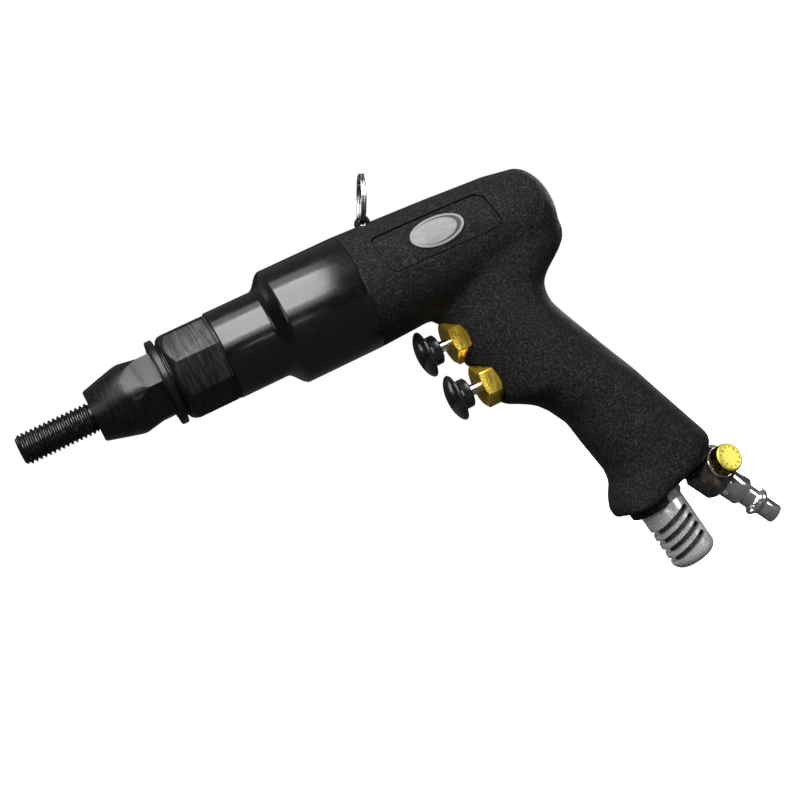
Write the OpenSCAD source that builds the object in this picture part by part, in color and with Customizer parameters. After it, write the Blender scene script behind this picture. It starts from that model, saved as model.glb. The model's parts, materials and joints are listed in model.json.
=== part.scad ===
// Pneumatic rivet nut setting gun, in millimetres.
// The barrel axis is X, with the mandrel pointing to -X and the grip hanging to -Z.
// The origin is on the barrel axis, at the front face of the nosepiece.

/* [Mandrel and nose] */
// Outer diameter of the mandrel thread
mandrel_d = 12; // [6:1:14]
// Pitch of the mandrel thread
mandrel_pitch = 1.75; // [1:0.25:2]
// Length of thread that stands out of the nosepiece
mandrel_out = 29; // [20:1:45]
// Diameter of the nosepiece's front face
nose_front_d = 20.4; // [18:0.2:24]
// Diameter of the nosepiece's rear half
nose_d = 27.6; // [26:0.2:29]
// Length of the nosepiece in front of the lock ring
nose_len = 27.8; // [22:0.2:36]
// Distance across the spanner flats of the nosepiece
nose_flats = 24; // [23:0.5:26]
// Thread diameter between nosepiece and adapter
nose_thread_d = 30; // [29:0.2:30.4]
// Outer diameter of the lock ring
lock_ring_d = 33.6; // [32:0.2:38]
// Thickness of the lock ring
lock_ring_t = 2.8; // [2:0.2:5]
// Distance across the eight flats of the adapter
adapter_flats = 33; // [32.6:0.2:36]
// Length of the octagonal part of the adapter
adapter_len = 20.2; // [18:0.2:30]

/* [Gearbox] */
// Outer diameter of the gear housing's front part
small_case_d = 34.8; // [34:0.2:38]
// Outer diameter of the gear housing's rear part
big_case_d = 46; // [45:0.5:52]
// Length of the blend between the two diameters
case_blend = 7; // [4:0.5:12]
// Gear module
gear_m = 0.7; // [0.65:0.01:0.72]
// Teeth on each sun gear
sun_teeth = 15; // [15:3:15]
// Teeth on each planet gear
planet_teeth = 18; // [18:3:18]
// Face width of the gears
gear_w = 8; // [6:0.5:12]
// Thickness of the carrier plates
plate_t = 2.5; // [2:0.1:4]
// Diameter of the planet pins
planet_pin_d = 4; // [3:0.5:5]
// Outer diameter of the spindle's sleeve
spindle_d = 21; // [19:0.5:22]
// Outer diameter of the spindle bearing
spindle_bearing_d = 31; // [30:0.2:32]
// Width of the spindle bearing
spindle_bearing_w = 7; // [6:0.5:10]

/* [Air motor] */
// Length of the rotor and of the motor cylinder
rotor_len = 40; // [30:1:50]
// Diameter of the rotor
rotor_d = 25.4; // [22:0.2:25.6]
// Outer diameter of the motor cylinder
motor_d = 35; // [34:0.5:36]
// Offset between rotor axis and cylinder bore
motor_offset = 1.7; // [1:0.1:1.8]
// Thickness of the motor end plates
end_plate_t = 6; // [5.5:0.5:9]
// Number of vanes
vane_count = 5; // [4:1:6]
// Thickness of a vane
vane_t = 2; // [1.5:0.1:3]
// Diameter of the rotor shaft
shaft_d = 8; // [7:0.5:9]

/* [Housing and grip] */
// Diameter of the motor housing at its front
housing_d = 46; // [45:0.5:52]
// Length of the housing behind the motor
tail_len = 31.6; // [28:0.2:40]
// Distance from the barrel axis to the lowest point of the grip
grip_drop = 123; // [112:1:140]
// Width of the grip
grip_w = 32; // [30:0.5:36]
// Depth of the grip just below the front knuckle
grip_depth = 34.5; // [32:0.5:42]
// Rake of the grip's rear line from vertical, degrees
grip_rake = 24.9; // [22:0.1:28]

/* [Valves] */
// Distance from the barrel axis down to the upper valve
valve_drop = 33; // [32.5:0.1:34]
// Distance between the two valves
valve_pitch = 20.1; // [19.8:0.1:22]
// Diameter of the push caps
cap_d = 18.6; // [15:0.2:19.4]
// Travel of the push buttons
button_travel = 3.5; // [2:0.1:3.8]
// Diameter of the valve stems
stem_d = 4.4; // [3:0.1:5]
// Distance across the flats of the valve nuts
valve_nut_flats = 16; // [13:0.5:16.4]

/* [Air inlet and muffler] */
// Lean of the inlet from vertical, degrees
inlet_lean = 31; // [26:1:36]
// Distance across the flats of the inlet body
inlet_flats = 17; // [15:0.5:18]
// Length of the inlet body
inlet_len = 14; // [13:0.5:20]
// Diameter of the regulator knob
knob_d = 12; // [9:0.5:13]
// Length of the regulator knob
knob_len = 6; // [5:0.1:10]
// Diameter of the quick-connect plug's tip
plug_tip_d = 7.8; // [6:0.1:9]
// Lean of the muffler from vertical, degrees
muffler_lean = 8.6; // [4:0.2:12]
// Outer diameter of the muffler
muffler_d = 18.8; // [16:0.2:20]
// Length of the muffler below its hex
muffler_len = 26; // [22:0.5:34]
// Number of muffler slots
slot_count = 4; // [3:1:5]

/* [Hanging ring and badge] */
// Mean diameter of the hanging ring
ring_mean_d = 18.6; // [15:0.2:24]
// Wire diameter of the hanging ring
ring_wire = 1.4; // [1.2:0.1:1.6]
// Lean of the hanging ring towards the rear, degrees
ring_lean = 25; // [0:1:60]
// Length of the oval badge
badge_len = 22.2; // [16:0.2:26]
// Height of the oval badge
badge_h = 12; // [9:0.2:13]

/* [Hidden] */
$fn = 64;

// Clearances
run_gap = 0.05;     // radial gap of a running fit
slide_gap = 0.07;   // radial gap of the valve stems
side_gap = 0.5;     // axial gap between gears and plates
backlash = 0.22;    // thinning of each gear tooth at the pitch circle
cut = 0.5;          // how far a cutter stands past the face it opens

// Mandrel and nose, from front to rear
mandrel_r = mandrel_d / 2;
thread_depth = 0.55 * mandrel_pitch;
shank_r = mandrel_r + 0.2;
drive_shank_r = mandrel_r + 0.5;
drive_flats = mandrel_d - 2;
drive_hex_len = 6;
nose_r = nose_d / 2;
nose_thread_r = nose_thread_d / 2;
nose_thread_len = 14;
nose_thread_pitch = 1.5;
nose_rim = 0.4;      // round rim left between the flats and the lock ring
ring_gap = 1.2;
x_ring = nose_len;
x_adapter = x_ring + lock_ring_t + ring_gap;
x_case = x_adapter + adapter_len;

// Thrust bearing, spindle and spindle bearing, behind the adapter's spigot
spigot_r = spindle_bearing_d / 2;
spigot_len = 6;
sleeve_r = spindle_d / 2;
thrust_washer_t = 1.2;
thrust_ball_r = 1.25;
thrust_pitch_r = spigot_r - 2.6;
x_thrust = x_case + spigot_len;
x_flange = x_thrust + 2 * thrust_washer_t + 2 * thrust_ball_r + 2 * run_gap;
flange_t = 3;
x_bearing = x_flange + flange_t;
journal_r = 9;
spindle_hub_r = 6.6;
x_hub = x_bearing + spindle_bearing_w + 2;
// The mandrel's thicker drive shank starts behind the nosepiece's bore
x_drive = x_ring + nose_thread_len - 7.4;
small_case_len = x_bearing + spindle_bearing_w - x_case - 2;
x_blend = x_case + small_case_len;
x_big = x_blend + case_blend;
case_wall = 3;
big_bore_r = big_case_d / 2 - case_wall;
x_big_bore = x_big + 1.5;

// Planetary stages: the output stage is in front, the first stage behind it
ring_teeth = sun_teeth + 2 * planet_teeth;
pressure_angle = 20;
tooth_up = 0.9 * gear_m;
tooth_down = 1.12 * gear_m;
sun_pitch_r = gear_m * sun_teeth / 2;
planet_pitch_r = gear_m * planet_teeth / 2;
ring_pitch_r = gear_m * ring_teeth / 2;
planet_orbit_r = sun_pitch_r + planet_pitch_r;
planet_count = 3;
carrier_r = planet_orbit_r + planet_pin_d / 2 + 1.6;
carrier_bore_r = sun_pitch_r + tooth_up + 0.6;
stage_len = gear_w + 2 * plate_t + 2 * side_gap;
x_out_plate = x_big_bore + 0.3;
x_first_plate = x_out_plate + stage_len + side_gap;
x_housing = x_first_plate + stage_len + side_gap;
x_ring_gear = x_out_plate + 1;

// Air motor
motor_r = motor_d / 2;
rotor_r = rotor_d / 2;
cylinder_bore_r = rotor_r + motor_offset + 0.1;
shaft_r = shaft_d / 2;
case_spigot_len = 6;
case_spigot_wall = 1.3;
plate_flange_t = 2;
x_front_plate = x_housing + plate_flange_t;
x_cylinder = x_front_plate + end_plate_t;
x_rear_plate = x_cylinder + rotor_len;
x_motor_end = x_rear_plate + end_plate_t;
motor_bearing_w = 5;
motor_bearing_r = 9;
pinion_seat_r = 3;
vane_depth = 5.5;
port_r = 1.5;

// Housing
x_tail = x_motor_end + tail_len;
housing_r = housing_d / 2;
panel_depth = 0.6;
panel_len = 48;
panel_h = 17.5;
panel_tilt = 18;
panel_corner = 4;
x_panel = x_housing + 10.5;
chamber_r = 10;
chamber_len = 12;
passage_r = 2.8;

// Grip: placed from the waist behind the housing, along its raked rear line
x_waist = x_tail - 18.6;
grip_r = grip_w / 2;
z_waist = -36;
function grip_rear(z) = x_waist + (z_waist - z) * tan(grip_rake);

// Valves
x_valve_seat = x_waist - 36.5;
valve_step = 3.3;
valve_nut_t = 7.2;
valve_shank_r = 5.5;
valve_shank_len = 7.5;
valve_chamber_r = 4.8;
poppet_r = 4.2;
poppet_t = 4;
spring_len = 6;
spring_wire = 0.8;
spring_mean_r = 3.3;
spring_turns = 5;
seal_r = 3.6;
seal_t = 1.8;
hub_r = 5.9;
hub_len = 4.7;
cap_rim = 1.2;
cap_dome = 3;
stem_r = stem_d / 2;
stem_gap = button_travel + 0.5;
spotface_r = valve_nut_flats / sqrt(3) + 0.26;
z_knuckle = -(valve_drop + valve_pitch + 8.5);
// Place of each valve: step to the rear, height
valves = [[0, -valve_drop], [valve_step, -valve_drop - valve_pitch]];

// Inlet and muffler
z_inlet = 5.4 - grip_drop;
x_inlet = grip_rear(z_inlet) - 12;
inlet_bore_r = 3;
inlet_thread_r = 7;
inlet_thread_len = 8;
bushing_flange_r = 8.3;
bushing_flange_t = 1.5;
knob_turn = 20;
knob_s = 6.4;
collar_t = 1.2;
needle_r = 1.6;
plug_thread_r = 4.5;
plug_thread_len = 4;
plug_body_r = 5.9;
plug_body_len = 9.5;
plug_neck_r = 4.35;
plug_neck_len = 5;
plug_collar_r = 6;
plug_collar_len = 4;
plug_tip_len = 7;
plug_bore_r = 2.5;
z_muffler = 1.5 - grip_drop;
x_muffler = grip_rear(z_muffler) - 35.5;
muffler_r = muffler_d / 2;
muffler_nut_flats = 19;
muffler_nut_t = 4.6;
muffler_wall = 2.2;
muffler_thread_r = 7;
muffler_thread_len = 9;
lip_wall = 1.3;
slot_pitch = 4.05;
slot_w = 2.2;
slot_tilt = 14;

// Hanging ring
x_lug = x_housing + 14;
wire_r = ring_wire / 2;
wire_offset = 0.94 * wire_r;
lug_hole_r = wire_r + wire_offset + 0.28;
z_lug = housing_r + 0.2;
lug_len = 5.6;
lug_w = 4;
lug_roof = 0.8;

// ---- shared shapes ----

// Puts a shape that stands on Z along the barrel axis, starting at x
module along_x(x) translate([x, 0, 0]) rotate([0, 90, 0]) children();

module tube(r_out, r_in, len) difference() {
    cylinder(r = r_out, h = len);
    translate([0, 0, -cut]) cylinder(r = r_in, h = len + 2 * cut);
}

// Disc with bevelled rims
module bevelled(r, len, bevel) rotate_extrude()
    polygon([[0, 0], [r - bevel, 0], [r, bevel], [r, len - bevel], [r - bevel, len], [0, len]]);

// Hexagonal prism with its corners on the local Y axis
module hex_prism(flats, len) rotate([0, 0, 90]) cylinder(r = flats / sqrt(3), h = len, $fn = 6);

// Radii of a screw thread drawn as rings, from z0 to z1
function thread_profile(r, depth, pitch, z0, z1) = [
    for (i = [0 : floor((z1 - z0) / pitch) - 1]) let (z = z0 + i * pitch)
        each [[r - depth, z], [r - depth, z + 0.22 * pitch],
              [r, z + 0.54 * pitch], [r, z + 0.7 * pitch]]
];

// Involute gear teeth
function involute(a) = tan(a) * 180 / PI - a;
function half_tooth(teeth, radius, slack) =
    let (pitch_r = gear_m * teeth / 2, base_r = pitch_r * cos(pressure_angle))
    90 / teeth - slack / 2 / pitch_r * 180 / PI + involute(pressure_angle)
    - (radius > base_r ? involute(acos(base_r / radius)) : 0);
function tooth_points(teeth, radii, slack) = [
    for (i = [0 : teeth - 1]) each concat(
        [for (r = radii) let (a = i * 360 / teeth - half_tooth(teeth, r, slack)) [r * cos(a), r * sin(a)]],
        [for (k = [len(radii) - 1 : -1 : 0]) let (r = radii[k],
            a = i * 360 / teeth + half_tooth(teeth, r, slack)) [r * cos(a), r * sin(a)]])
];
function tooth_radii(pitch_r, down, up) = [pitch_r - down, pitch_r - 0.4 * down, pitch_r + 0.3 * up,
    pitch_r + up];

module spur_gear(teeth, width) linear_extrude(width)
    polygon(tooth_points(teeth, tooth_radii(gear_m * teeth / 2, tooth_down, tooth_up), backlash));

// Ball bearing, in three parts that share these sizes
function ball_r(r_out, r_in) = (r_out - r_in) * 0.29;
module bearing_outer(x, w, r_out, r_in) along_x(x) rotate_extrude() difference() {
    translate([(r_out + r_in) / 2 + 0.15 * (r_out - r_in), 0]) square([0.35 * (r_out - r_in), w]);
    translate([(r_out + r_in) / 2, w / 2]) circle(r = ball_r(r_out, r_in) + run_gap);
}
module bearing_inner(x, w, r_out, r_in) along_x(x) rotate_extrude() difference() {
    translate([r_in, 0]) square([0.35 * (r_out - r_in), w]);
    translate([(r_out + r_in) / 2, w / 2]) circle(r = ball_r(r_out, r_in) + run_gap);
}
module bearing_balls(x, w, r_out, r_in, count) along_x(x + w / 2) for (i = [0 : count - 1])
    rotate([0, 0, i * 360 / count]) translate([(r_out + r_in) / 2, 0, 0]) sphere(r = ball_r(r_out, r_in));

// ---- nose ----

module mandrel() color("dimgray") along_x(-mandrel_out) difference() {
    union() {
        rotate_extrude() polygon(concat(
            [[0, 0], [mandrel_r - thread_depth - 0.4, 0]],
            thread_profile(mandrel_r, thread_depth, mandrel_pitch, 0.3, mandrel_out),
            [[mandrel_r - thread_depth, mandrel_out - 0.1], [mandrel_r - thread_depth, mandrel_out + 2],
             [shank_r, mandrel_out + 3], [shank_r, mandrel_out + x_drive],
             [drive_shank_r, mandrel_out + x_drive + 0.5], [drive_shank_r, mandrel_out
                 + x_thrust - drive_hex_len],
             [0, mandrel_out + x_thrust - drive_hex_len]]));
        translate([0, 0, mandrel_out + x_thrust - drive_hex_len]) hex_prism(drive_flats, drive_hex_len);
    }
}

// Cutter for a spanner flat facing +Z: it ramps down from x0 over the given slope
module flat_cutter(dist, x0, slope, x1, reach) rotate([90, 0, 0]) linear_extrude(2 * reach, center = true)
    polygon([[x0, dist + slope], [x0 + slope, dist], [x1, dist], [x1, reach], [x0, reach]]);

module nosepiece() color("#1b1b1c") difference() {
    along_x(0) rotate_extrude() polygon(concat(
        [[shank_r + 0.1, 0], [nose_front_d / 2 - 0.8, 0], [nose_front_d / 2, 0.8],
         [nose_r - 0.3, nose_len / 2 - 1.2], [nose_r, nose_len / 2 + 0.7], [nose_r, x_ring]],
        thread_profile(nose_thread_r, 0.75, nose_thread_pitch, x_ring, x_ring + nose_thread_len),
        [[nose_thread_r - 0.75, x_ring + nose_thread_len], [sleeve_r + 0.6, x_ring + nose_thread_len],
         [sleeve_r + 0.6, x_ring + nose_thread_len - 5], [shank_r + 0.1, x_ring + nose_thread_len - 8]]));
    for (i = [0 : 5]) rotate([i * 60, 0, 0])
        flat_cutter(nose_flats / 2, nose_len / 2 - 0.5, 2.5, x_ring - nose_rim, nose_d);
}

module lock_ring() color("#262626") along_x(x_ring) difference() {
    bevelled(lock_ring_d / 2, lock_ring_t, 0.5);
    translate([0, 0, -cut]) cylinder(r = nose_thread_r, h = lock_ring_t + 2 * cut);
}

module nose_adapter() color("#3a3a3c") difference() {
    union() {
        along_x(x_adapter) intersection() {
            rotate([0, 0, 22.5]) cylinder(r = adapter_flats / 2 / cos(22.5), h = adapter_len, $fn = 8);
            rotate_extrude() polygon([[0, 0], [adapter_flats / 2 - 0.6, 0],
                [adapter_flats / 2 + 0.9, 2.2], [adapter_flats / 2 + 0.9, adapter_len], [0, adapter_len]]);
        }
        along_x(x_case) cylinder(r = spigot_r, h = spigot_len);
    }
    along_x(x_adapter - cut) cylinder(r = nose_thread_r, h = nose_thread_len - lock_ring_t - ring_gap
        + 1 + cut);
    along_x(x_adapter) cylinder(r = sleeve_r + 0.3, h = adapter_len + spigot_len + cut);
    along_x(x_case + 2) tube(spigot_r + cut, spigot_r - 1.2, 2);
}

// ---- gear housing, spindle and bearings ----

blend_steps = 10;
module gear_housing() color("#111112") along_x(0) difference() {
    union() {
        rotate_extrude() polygon(concat(
            [[0, x_case], [small_case_d / 2 - 0.6, x_case], [small_case_d / 2, x_case + 0.6]],
            [for (i = [0 : blend_steps]) [small_case_d / 2 + (big_case_d - small_case_d) / 4
                * (1 - cos(180 * i / blend_steps)), x_blend + case_blend * i / blend_steps]],
            [[big_case_d / 2, x_housing - 0.5], [big_case_d / 2 - 0.5, x_housing], [0, x_housing]]));
        translate([0, 0, x_housing]) cylinder(r = big_bore_r + case_spigot_wall, h = case_spigot_len);
    }
    translate([0, 0, x_case - cut]) cylinder(r = spigot_r, h = x_bearing + spindle_bearing_w - x_case
        + cut);
    translate([0, 0, x_case]) cylinder(r = spigot_r - 2.5, h = x_big_bore - x_case + cut);
    translate([0, 0, x_big_bore]) cylinder(r = big_bore_r, h = x_housing
        + case_spigot_len - x_big_bore + cut);
}

x_sleeve = x_ring + nose_thread_len - 4.3;
module output_spindle() color("silver") along_x(0) difference() {
    union() {
        translate([0, 0, x_sleeve]) cylinder(r = sleeve_r, h = x_flange - x_sleeve);
        translate([0, 0, x_flange]) cylinder(r = sleeve_r + 2.4, h = flange_t);
        translate([0, 0, x_bearing]) cylinder(r = journal_r, h = x_hub - x_bearing);
        translate([0, 0, x_hub]) cylinder(r = spindle_hub_r, h = x_out_plate + plate_t - x_hub);
    }
    translate([0, 0, x_sleeve - cut]) cylinder(r = drive_shank_r,
        h = x_thrust - drive_hex_len - x_sleeve + cut);
    translate([0, 0, x_thrust - drive_hex_len - 0.1]) hex_prism(drive_flats, drive_hex_len + 0.1);
}

module spindle_outer_race() color("lightsteelblue")
    bearing_outer(x_bearing, spindle_bearing_w, spigot_r, journal_r);
module spindle_inner_race() color("lightsteelblue")
    bearing_inner(x_bearing, spindle_bearing_w, spigot_r, journal_r);
module spindle_balls() color("gainsboro") bearing_balls(x_bearing, spindle_bearing_w, spigot_r,
    journal_r, 14);

module thrust_front_washer() color("gainsboro") along_x(x_thrust) tube(spigot_r, sleeve_r + 0.3,
    thrust_washer_t);
module thrust_rear_washer() color("gainsboro")
    along_x(x_flange - thrust_washer_t) tube(spigot_r - 0.3, sleeve_r, thrust_washer_t);
module thrust_balls() color("white") along_x(x_thrust + thrust_washer_t + run_gap + thrust_ball_r)
    for (i = [0 : 19]) rotate([0, 0, i * 18]) translate([thrust_pitch_r, 0, 0]) sphere(r = thrust_ball_r);

// ---- planetary stages ----

module at_planets() for (i = [0 : planet_count - 1]) rotate([0, 0, i * 360 / planet_count])
    translate([planet_orbit_r, 0, 0]) children();

module carrier_plate(bore_r) difference() {
    cylinder(r = carrier_r, h = plate_t);
    translate([0, 0, -cut]) cylinder(r = bore_r, h = plate_t + 2 * cut);
    translate([0, 0, -cut]) at_planets() cylinder(r = planet_pin_d / 2, h = plate_t + 2 * cut);
}

module planet_pins(x) along_x(x) at_planets() cylinder(r = planet_pin_d / 2, h = stage_len);

module planet(x, i) along_x(x + plate_t + side_gap) rotate([0, 0, i * 360 / planet_count])
    translate([planet_orbit_r, 0, 0]) difference() {
        rotate([0, 0, 180 / planet_teeth]) spur_gear(planet_teeth, gear_w);
        translate([0, 0, -cut]) cylinder(r = planet_pin_d / 2 + run_gap, h = gear_w + 2 * cut);
    }

module output_carrier() color("slategray") along_x(x_out_plate) {
    carrier_plate(spindle_hub_r);
    translate([0, 0, x_hub - x_out_plate]) tube(journal_r, spindle_hub_r, x_out_plate - x_hub);
}
module output_carrier_ring() color("slategray")
    along_x(x_out_plate + stage_len - plate_t) carrier_plate(carrier_bore_r);
module output_pins() color("gainsboro") planet_pins(x_out_plate);
module output_planet(i) color("goldenrod") planet(x_out_plate, i);

module first_carrier() color("slategray") {
    along_x(x_first_plate) difference() {
        cylinder(r = carrier_r, h = plate_t);
        translate([0, 0, -cut]) at_planets() cylinder(r = planet_pin_d / 2, h = plate_t + 2 * cut);
    }
    along_x(x_out_plate + plate_t + side_gap)
        spur_gear(sun_teeth, x_first_plate - x_out_plate - plate_t - side_gap);
}
module first_carrier_ring() color("slategray")
    along_x(x_first_plate + stage_len - plate_t) carrier_plate(carrier_bore_r);
module first_pins() color("gainsboro") planet_pins(x_first_plate);
module first_planet(i) color("goldenrod") planet(x_first_plate, i);

module ring_gear() color("darkgray") along_x(x_ring_gear)
    linear_extrude(x_housing - x_ring_gear - 0.3) difference() {
    circle(r = big_bore_r);
    rotate(180 / ring_teeth)
        polygon(tooth_points(ring_teeth, tooth_radii(ring_pitch_r, tooth_up, tooth_down), -backlash));
}

// ---- air motor ----

x_pinion = x_first_plate + plate_t + side_gap;
module rotor() color("silver") along_x(0) difference() {
    union() {
        translate([0, 0, x_pinion]) cylinder(r = pinion_seat_r, h = x_front_plate - x_pinion);
        translate([0, 0, x_front_plate]) cylinder(r = shaft_r, h = x_motor_end - x_front_plate);
        translate([0, 0, x_cylinder + 0.2]) cylinder(r = rotor_r, h = rotor_len - 0.4);
    }
    for (i = [0 : vane_count - 1]) rotate([0, 0, i * 360 / vane_count])
        translate([rotor_r - vane_depth - 0.2, -vane_t / 2 - 0.05, x_cylinder])
            cube([vane_depth + 1, vane_t + 0.1, rotor_len]);
}
module rotor_pinion() color("goldenrod") along_x(x_pinion) difference() {
    spur_gear(sun_teeth, gear_w);
    translate([0, 0, -cut]) cylinder(r = pinion_seat_r, h = gear_w + 2 * cut);
}
module vanes() color("saddlebrown") along_x(x_cylinder + 0.3) for (i = [0 : vane_count - 1])
    rotate([0, 0, i * 360 / vane_count]) translate([rotor_r - vane_depth - 0.1, -vane_t / 2, 0])
        cube([vane_depth, vane_t, rotor_len - 0.6]);

module motor_cylinder() color("darkgray") along_x(x_cylinder) difference() {
    cylinder(r = motor_r, h = rotor_len);
    translate([motor_offset, 0, -cut]) cylinder(r = cylinder_bore_r, h = rotor_len + 2 * cut);
    for (i = [-1 : 1]) translate([0, 0, rotor_len / 2 + i * 8]) rotate([0, 90, 0])
        cylinder(r = port_r, h = motor_r + cut);
}

module front_end_plate() color("gray") along_x(x_housing) difference() {
    union() {
        cylinder(r = big_bore_r, h = plate_flange_t);
        cylinder(r = motor_r, h = plate_flange_t + end_plate_t);
    }
    translate([0, 0, -cut]) cylinder(r = motor_bearing_r, h = plate_flange_t + motor_bearing_w + cut);
    cylinder(r = shaft_r + 0.3, h = plate_flange_t + end_plate_t + cut);
}
module rear_end_plate() color("gray") along_x(x_rear_plate) difference() {
    cylinder(r = motor_r, h = end_plate_t);
    translate([0, 0, end_plate_t - motor_bearing_w]) cylinder(r = motor_bearing_r,
        h = motor_bearing_w + cut);
    translate([0, 0, -cut]) cylinder(r = shaft_r + 0.3, h = end_plate_t + 2 * cut);
}

module front_outer_race() color("lightsteelblue")
    bearing_outer(x_front_plate, motor_bearing_w, motor_bearing_r, shaft_r);
module front_inner_race() color("lightsteelblue")
    bearing_inner(x_front_plate, motor_bearing_w, motor_bearing_r, shaft_r);
module front_balls() color("gainsboro") bearing_balls(x_front_plate, motor_bearing_w, motor_bearing_r,
    shaft_r, 9);
x_rear_bearing = x_motor_end - motor_bearing_w;
module rear_outer_race() color("lightsteelblue")
    bearing_outer(x_rear_bearing, motor_bearing_w, motor_bearing_r, shaft_r);
module rear_inner_race() color("lightsteelblue")
    bearing_inner(x_rear_bearing, motor_bearing_w, motor_bearing_r, shaft_r);
module rear_balls() color("gainsboro") bearing_balls(x_rear_bearing, motor_bearing_w, motor_bearing_r,
    shaft_r, 9);

// ---- motor housing and grip ----

// Barrel of the housing, grown by off: a slow taper, then a domed tail
tail_steps = 6;
tail_dome = 11;
tail_drop = 4.8;
module barrel_skin(off) along_x(0) rotate_extrude() polygon(concat(
    [[0, x_housing], [housing_r + off, x_housing], [housing_r - 0.6 + off, x_lug + 3],
     [housing_r - 3.2 + off, x_tail - 21]],
    [for (i = [0 : tail_steps]) let (a = 90 * i / tail_steps)
        [(housing_r - tail_drop + off) * cos(a), x_tail - tail_dome + (tail_dome + off) * sin(a)]]));

// Thin slice of the grip at height z: a front, a rear and two side rims
rim_r = 7;
side_r = 10;
module slice(z, front, rear, half_w) translate([0, 0, z]) linear_extrude(0.02) {
    translate([front + rim_r, 0]) circle(r = rim_r, $fn = 32);
    translate([rear - rim_r, 0]) circle(r = rim_r, $fn = 32);
    for (s = [-1, 1]) translate([front + 0.54 * (rear - front), s * (half_w - side_r)])
        circle(r = side_r, $fn = 32);
}

z_foot = -grip_drop;
module grip_skin() {
    hull() {
        slice(-4, x_valve_seat - 11, x_tail - 1.2, grip_r + 2);
        slice(-15, x_valve_seat - 9, x_tail - 1.8, grip_r + 1.5);
        slice(-25.4, x_valve_seat - 7.6, x_waist + 3.2, grip_r);
    }
    hull() {
        slice(-25.4, x_valve_seat - 7.6, x_waist + 3.2, grip_r);
        slice(z_waist, x_valve_seat - 5.4, x_waist + 0.2, grip_r - 0.2);
    }
    hull() {
        slice(z_waist, x_valve_seat - 5.4, x_waist + 0.2, grip_r - 0.2);
        slice(z_knuckle, x_valve_seat - 0.2, grip_rear(z_knuckle), grip_r - 0.2);
    }
    hull() {
        slice(z_knuckle, x_valve_seat - 0.2, grip_rear(z_knuckle), grip_r - 0.2);
        slice(z_knuckle - 6, x_valve_seat + 12, grip_rear(z_knuckle - 6), grip_r - 0.4);
    }
    hull() {
        slice(z_knuckle - 6, x_valve_seat + 12, grip_rear(z_knuckle - 6), grip_r - 0.4);
        slice(z_knuckle - 19, grip_rear(z_knuckle - 19) - grip_depth, grip_rear(z_knuckle - 19),
            grip_r - 0.5);
    }
    hull() {
        slice(z_knuckle - 19, grip_rear(z_knuckle - 19) - grip_depth, grip_rear(z_knuckle - 19),
            grip_r - 0.5);
        slice(z_foot + 13, grip_rear(z_foot + 13) - grip_depth - 9.5, grip_rear(z_foot + 13), grip_r + 0.5);
    }
    hull() {
        slice(z_foot + 13, grip_rear(z_foot + 13) - grip_depth - 9.5, grip_rear(z_foot + 13), grip_r + 0.5);
        slice(z_foot + 5, grip_rear(z_foot + 13) - grip_depth - 14.5, grip_rear(z_foot + 13) - 5,
            grip_r + 0.5);
        slice(z_foot, grip_rear(z_foot + 13) - grip_depth - 12.5, grip_rear(z_foot + 13) - 21, grip_r - 1);
    }
}

// Hangs a shape from the foot of the grip: its own Z runs down the leaning axis
module hang(x, z, lean) translate([x, 0, z]) rotate([0, -lean, 0]) rotate([180, 0, 0]) children();
module at_inlet() hang(x_inlet, z_inlet, inlet_lean) children();
module at_muffler() hang(x_muffler, z_muffler, muffler_lean) children();

module bore_between(p, q, r) translate(p)
    rotate([0, acos((q - p).z / norm(q - p)), atan2((q - p).y, (q - p).x)]) cylinder(r = r,
        h = norm(q - p));

// Outline of the side panel or the badge, standing out to the near side
module from_side(x, tilt) rotate([90 - tilt, 0, 0]) translate([x, 0, 0]) children();
module panel_outline() {
    for (x = [panel_corner, panel_len - panel_corner], z = [-1, 1])
        translate([x, z * (panel_h / 2 - panel_corner)]) circle(r = panel_corner);
    translate([0, panel_corner - panel_h / 2]) square([panel_len, panel_h - 2 * panel_corner]);
    translate([panel_corner, -panel_h / 2]) square([panel_len - 2 * panel_corner, panel_h]);
}

module motor_housing() color("#2b2b2c") difference() {
    union() {
        barrel_skin(0);
        grip_skin();
        at_muffler() muffler_lip();
    }
    along_x(x_housing - cut) cylinder(r = big_bore_r + case_spigot_wall, h = case_spigot_len + cut);
    along_x(x_housing) cylinder(r = motor_r, h = x_motor_end - x_housing);
    along_x(x_motor_end - cut) cylinder(r = chamber_r, h = chamber_len + cut);
    intersection() {
        from_side(x_panel, panel_tilt) linear_extrude(2 * housing_r) panel_outline();
        difference() {
            barrel_skin(2);
            barrel_skin(-panel_depth);
        }
    }
    for (v = valves) translate([v[0], 0, v[1]]) along_x(x_valve_seat) {
        translate([0, 0, -20]) cylinder(r = spotface_r, h = 20);
        cylinder(r = valve_shank_r, h = valve_shank_len);
        cylinder(r = valve_chamber_r, h = chamber_depth);
    }
    bore_between([x_inlet, 0, z_inlet], [x_valve_seat + chamber_depth, 5.5, valves[1][1]], passage_r);
    bore_between([x_muffler, 0, z_muffler], [x_motor_end + chamber_len / 2, -5.5, -chamber_r + 3],
        passage_r);
    translate([x_valve_seat + chamber_depth - 4, 0, valves[1][1]]) cylinder(r = passage_r - 0.5,
        h = -valves[1][1] - motor_r + 1);
    at_inlet() translate([0, 0, -inlet_thread_len]) cylinder(r = inlet_thread_r, h = inlet_thread_len + 15);
    at_muffler() translate([0, 0, -muffler_thread_len]) cylinder(r = muffler_thread_r,
        h = muffler_thread_len);
    at_muffler() cylinder(r = muffler_nut_flats / sqrt(3) + 0.2, h = 20);
    translate([x_lug, 4 * lug_w / 2, z_lug]) rotate([90, 0, 0]) cylinder(r = lug_hole_r + 0.4, h = 4
        * lug_w);
    lug_block();
}
chamber_depth = valve_shank_len + 0.3 + poppet_t + button_travel + 0.4 + spring_len;

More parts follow.
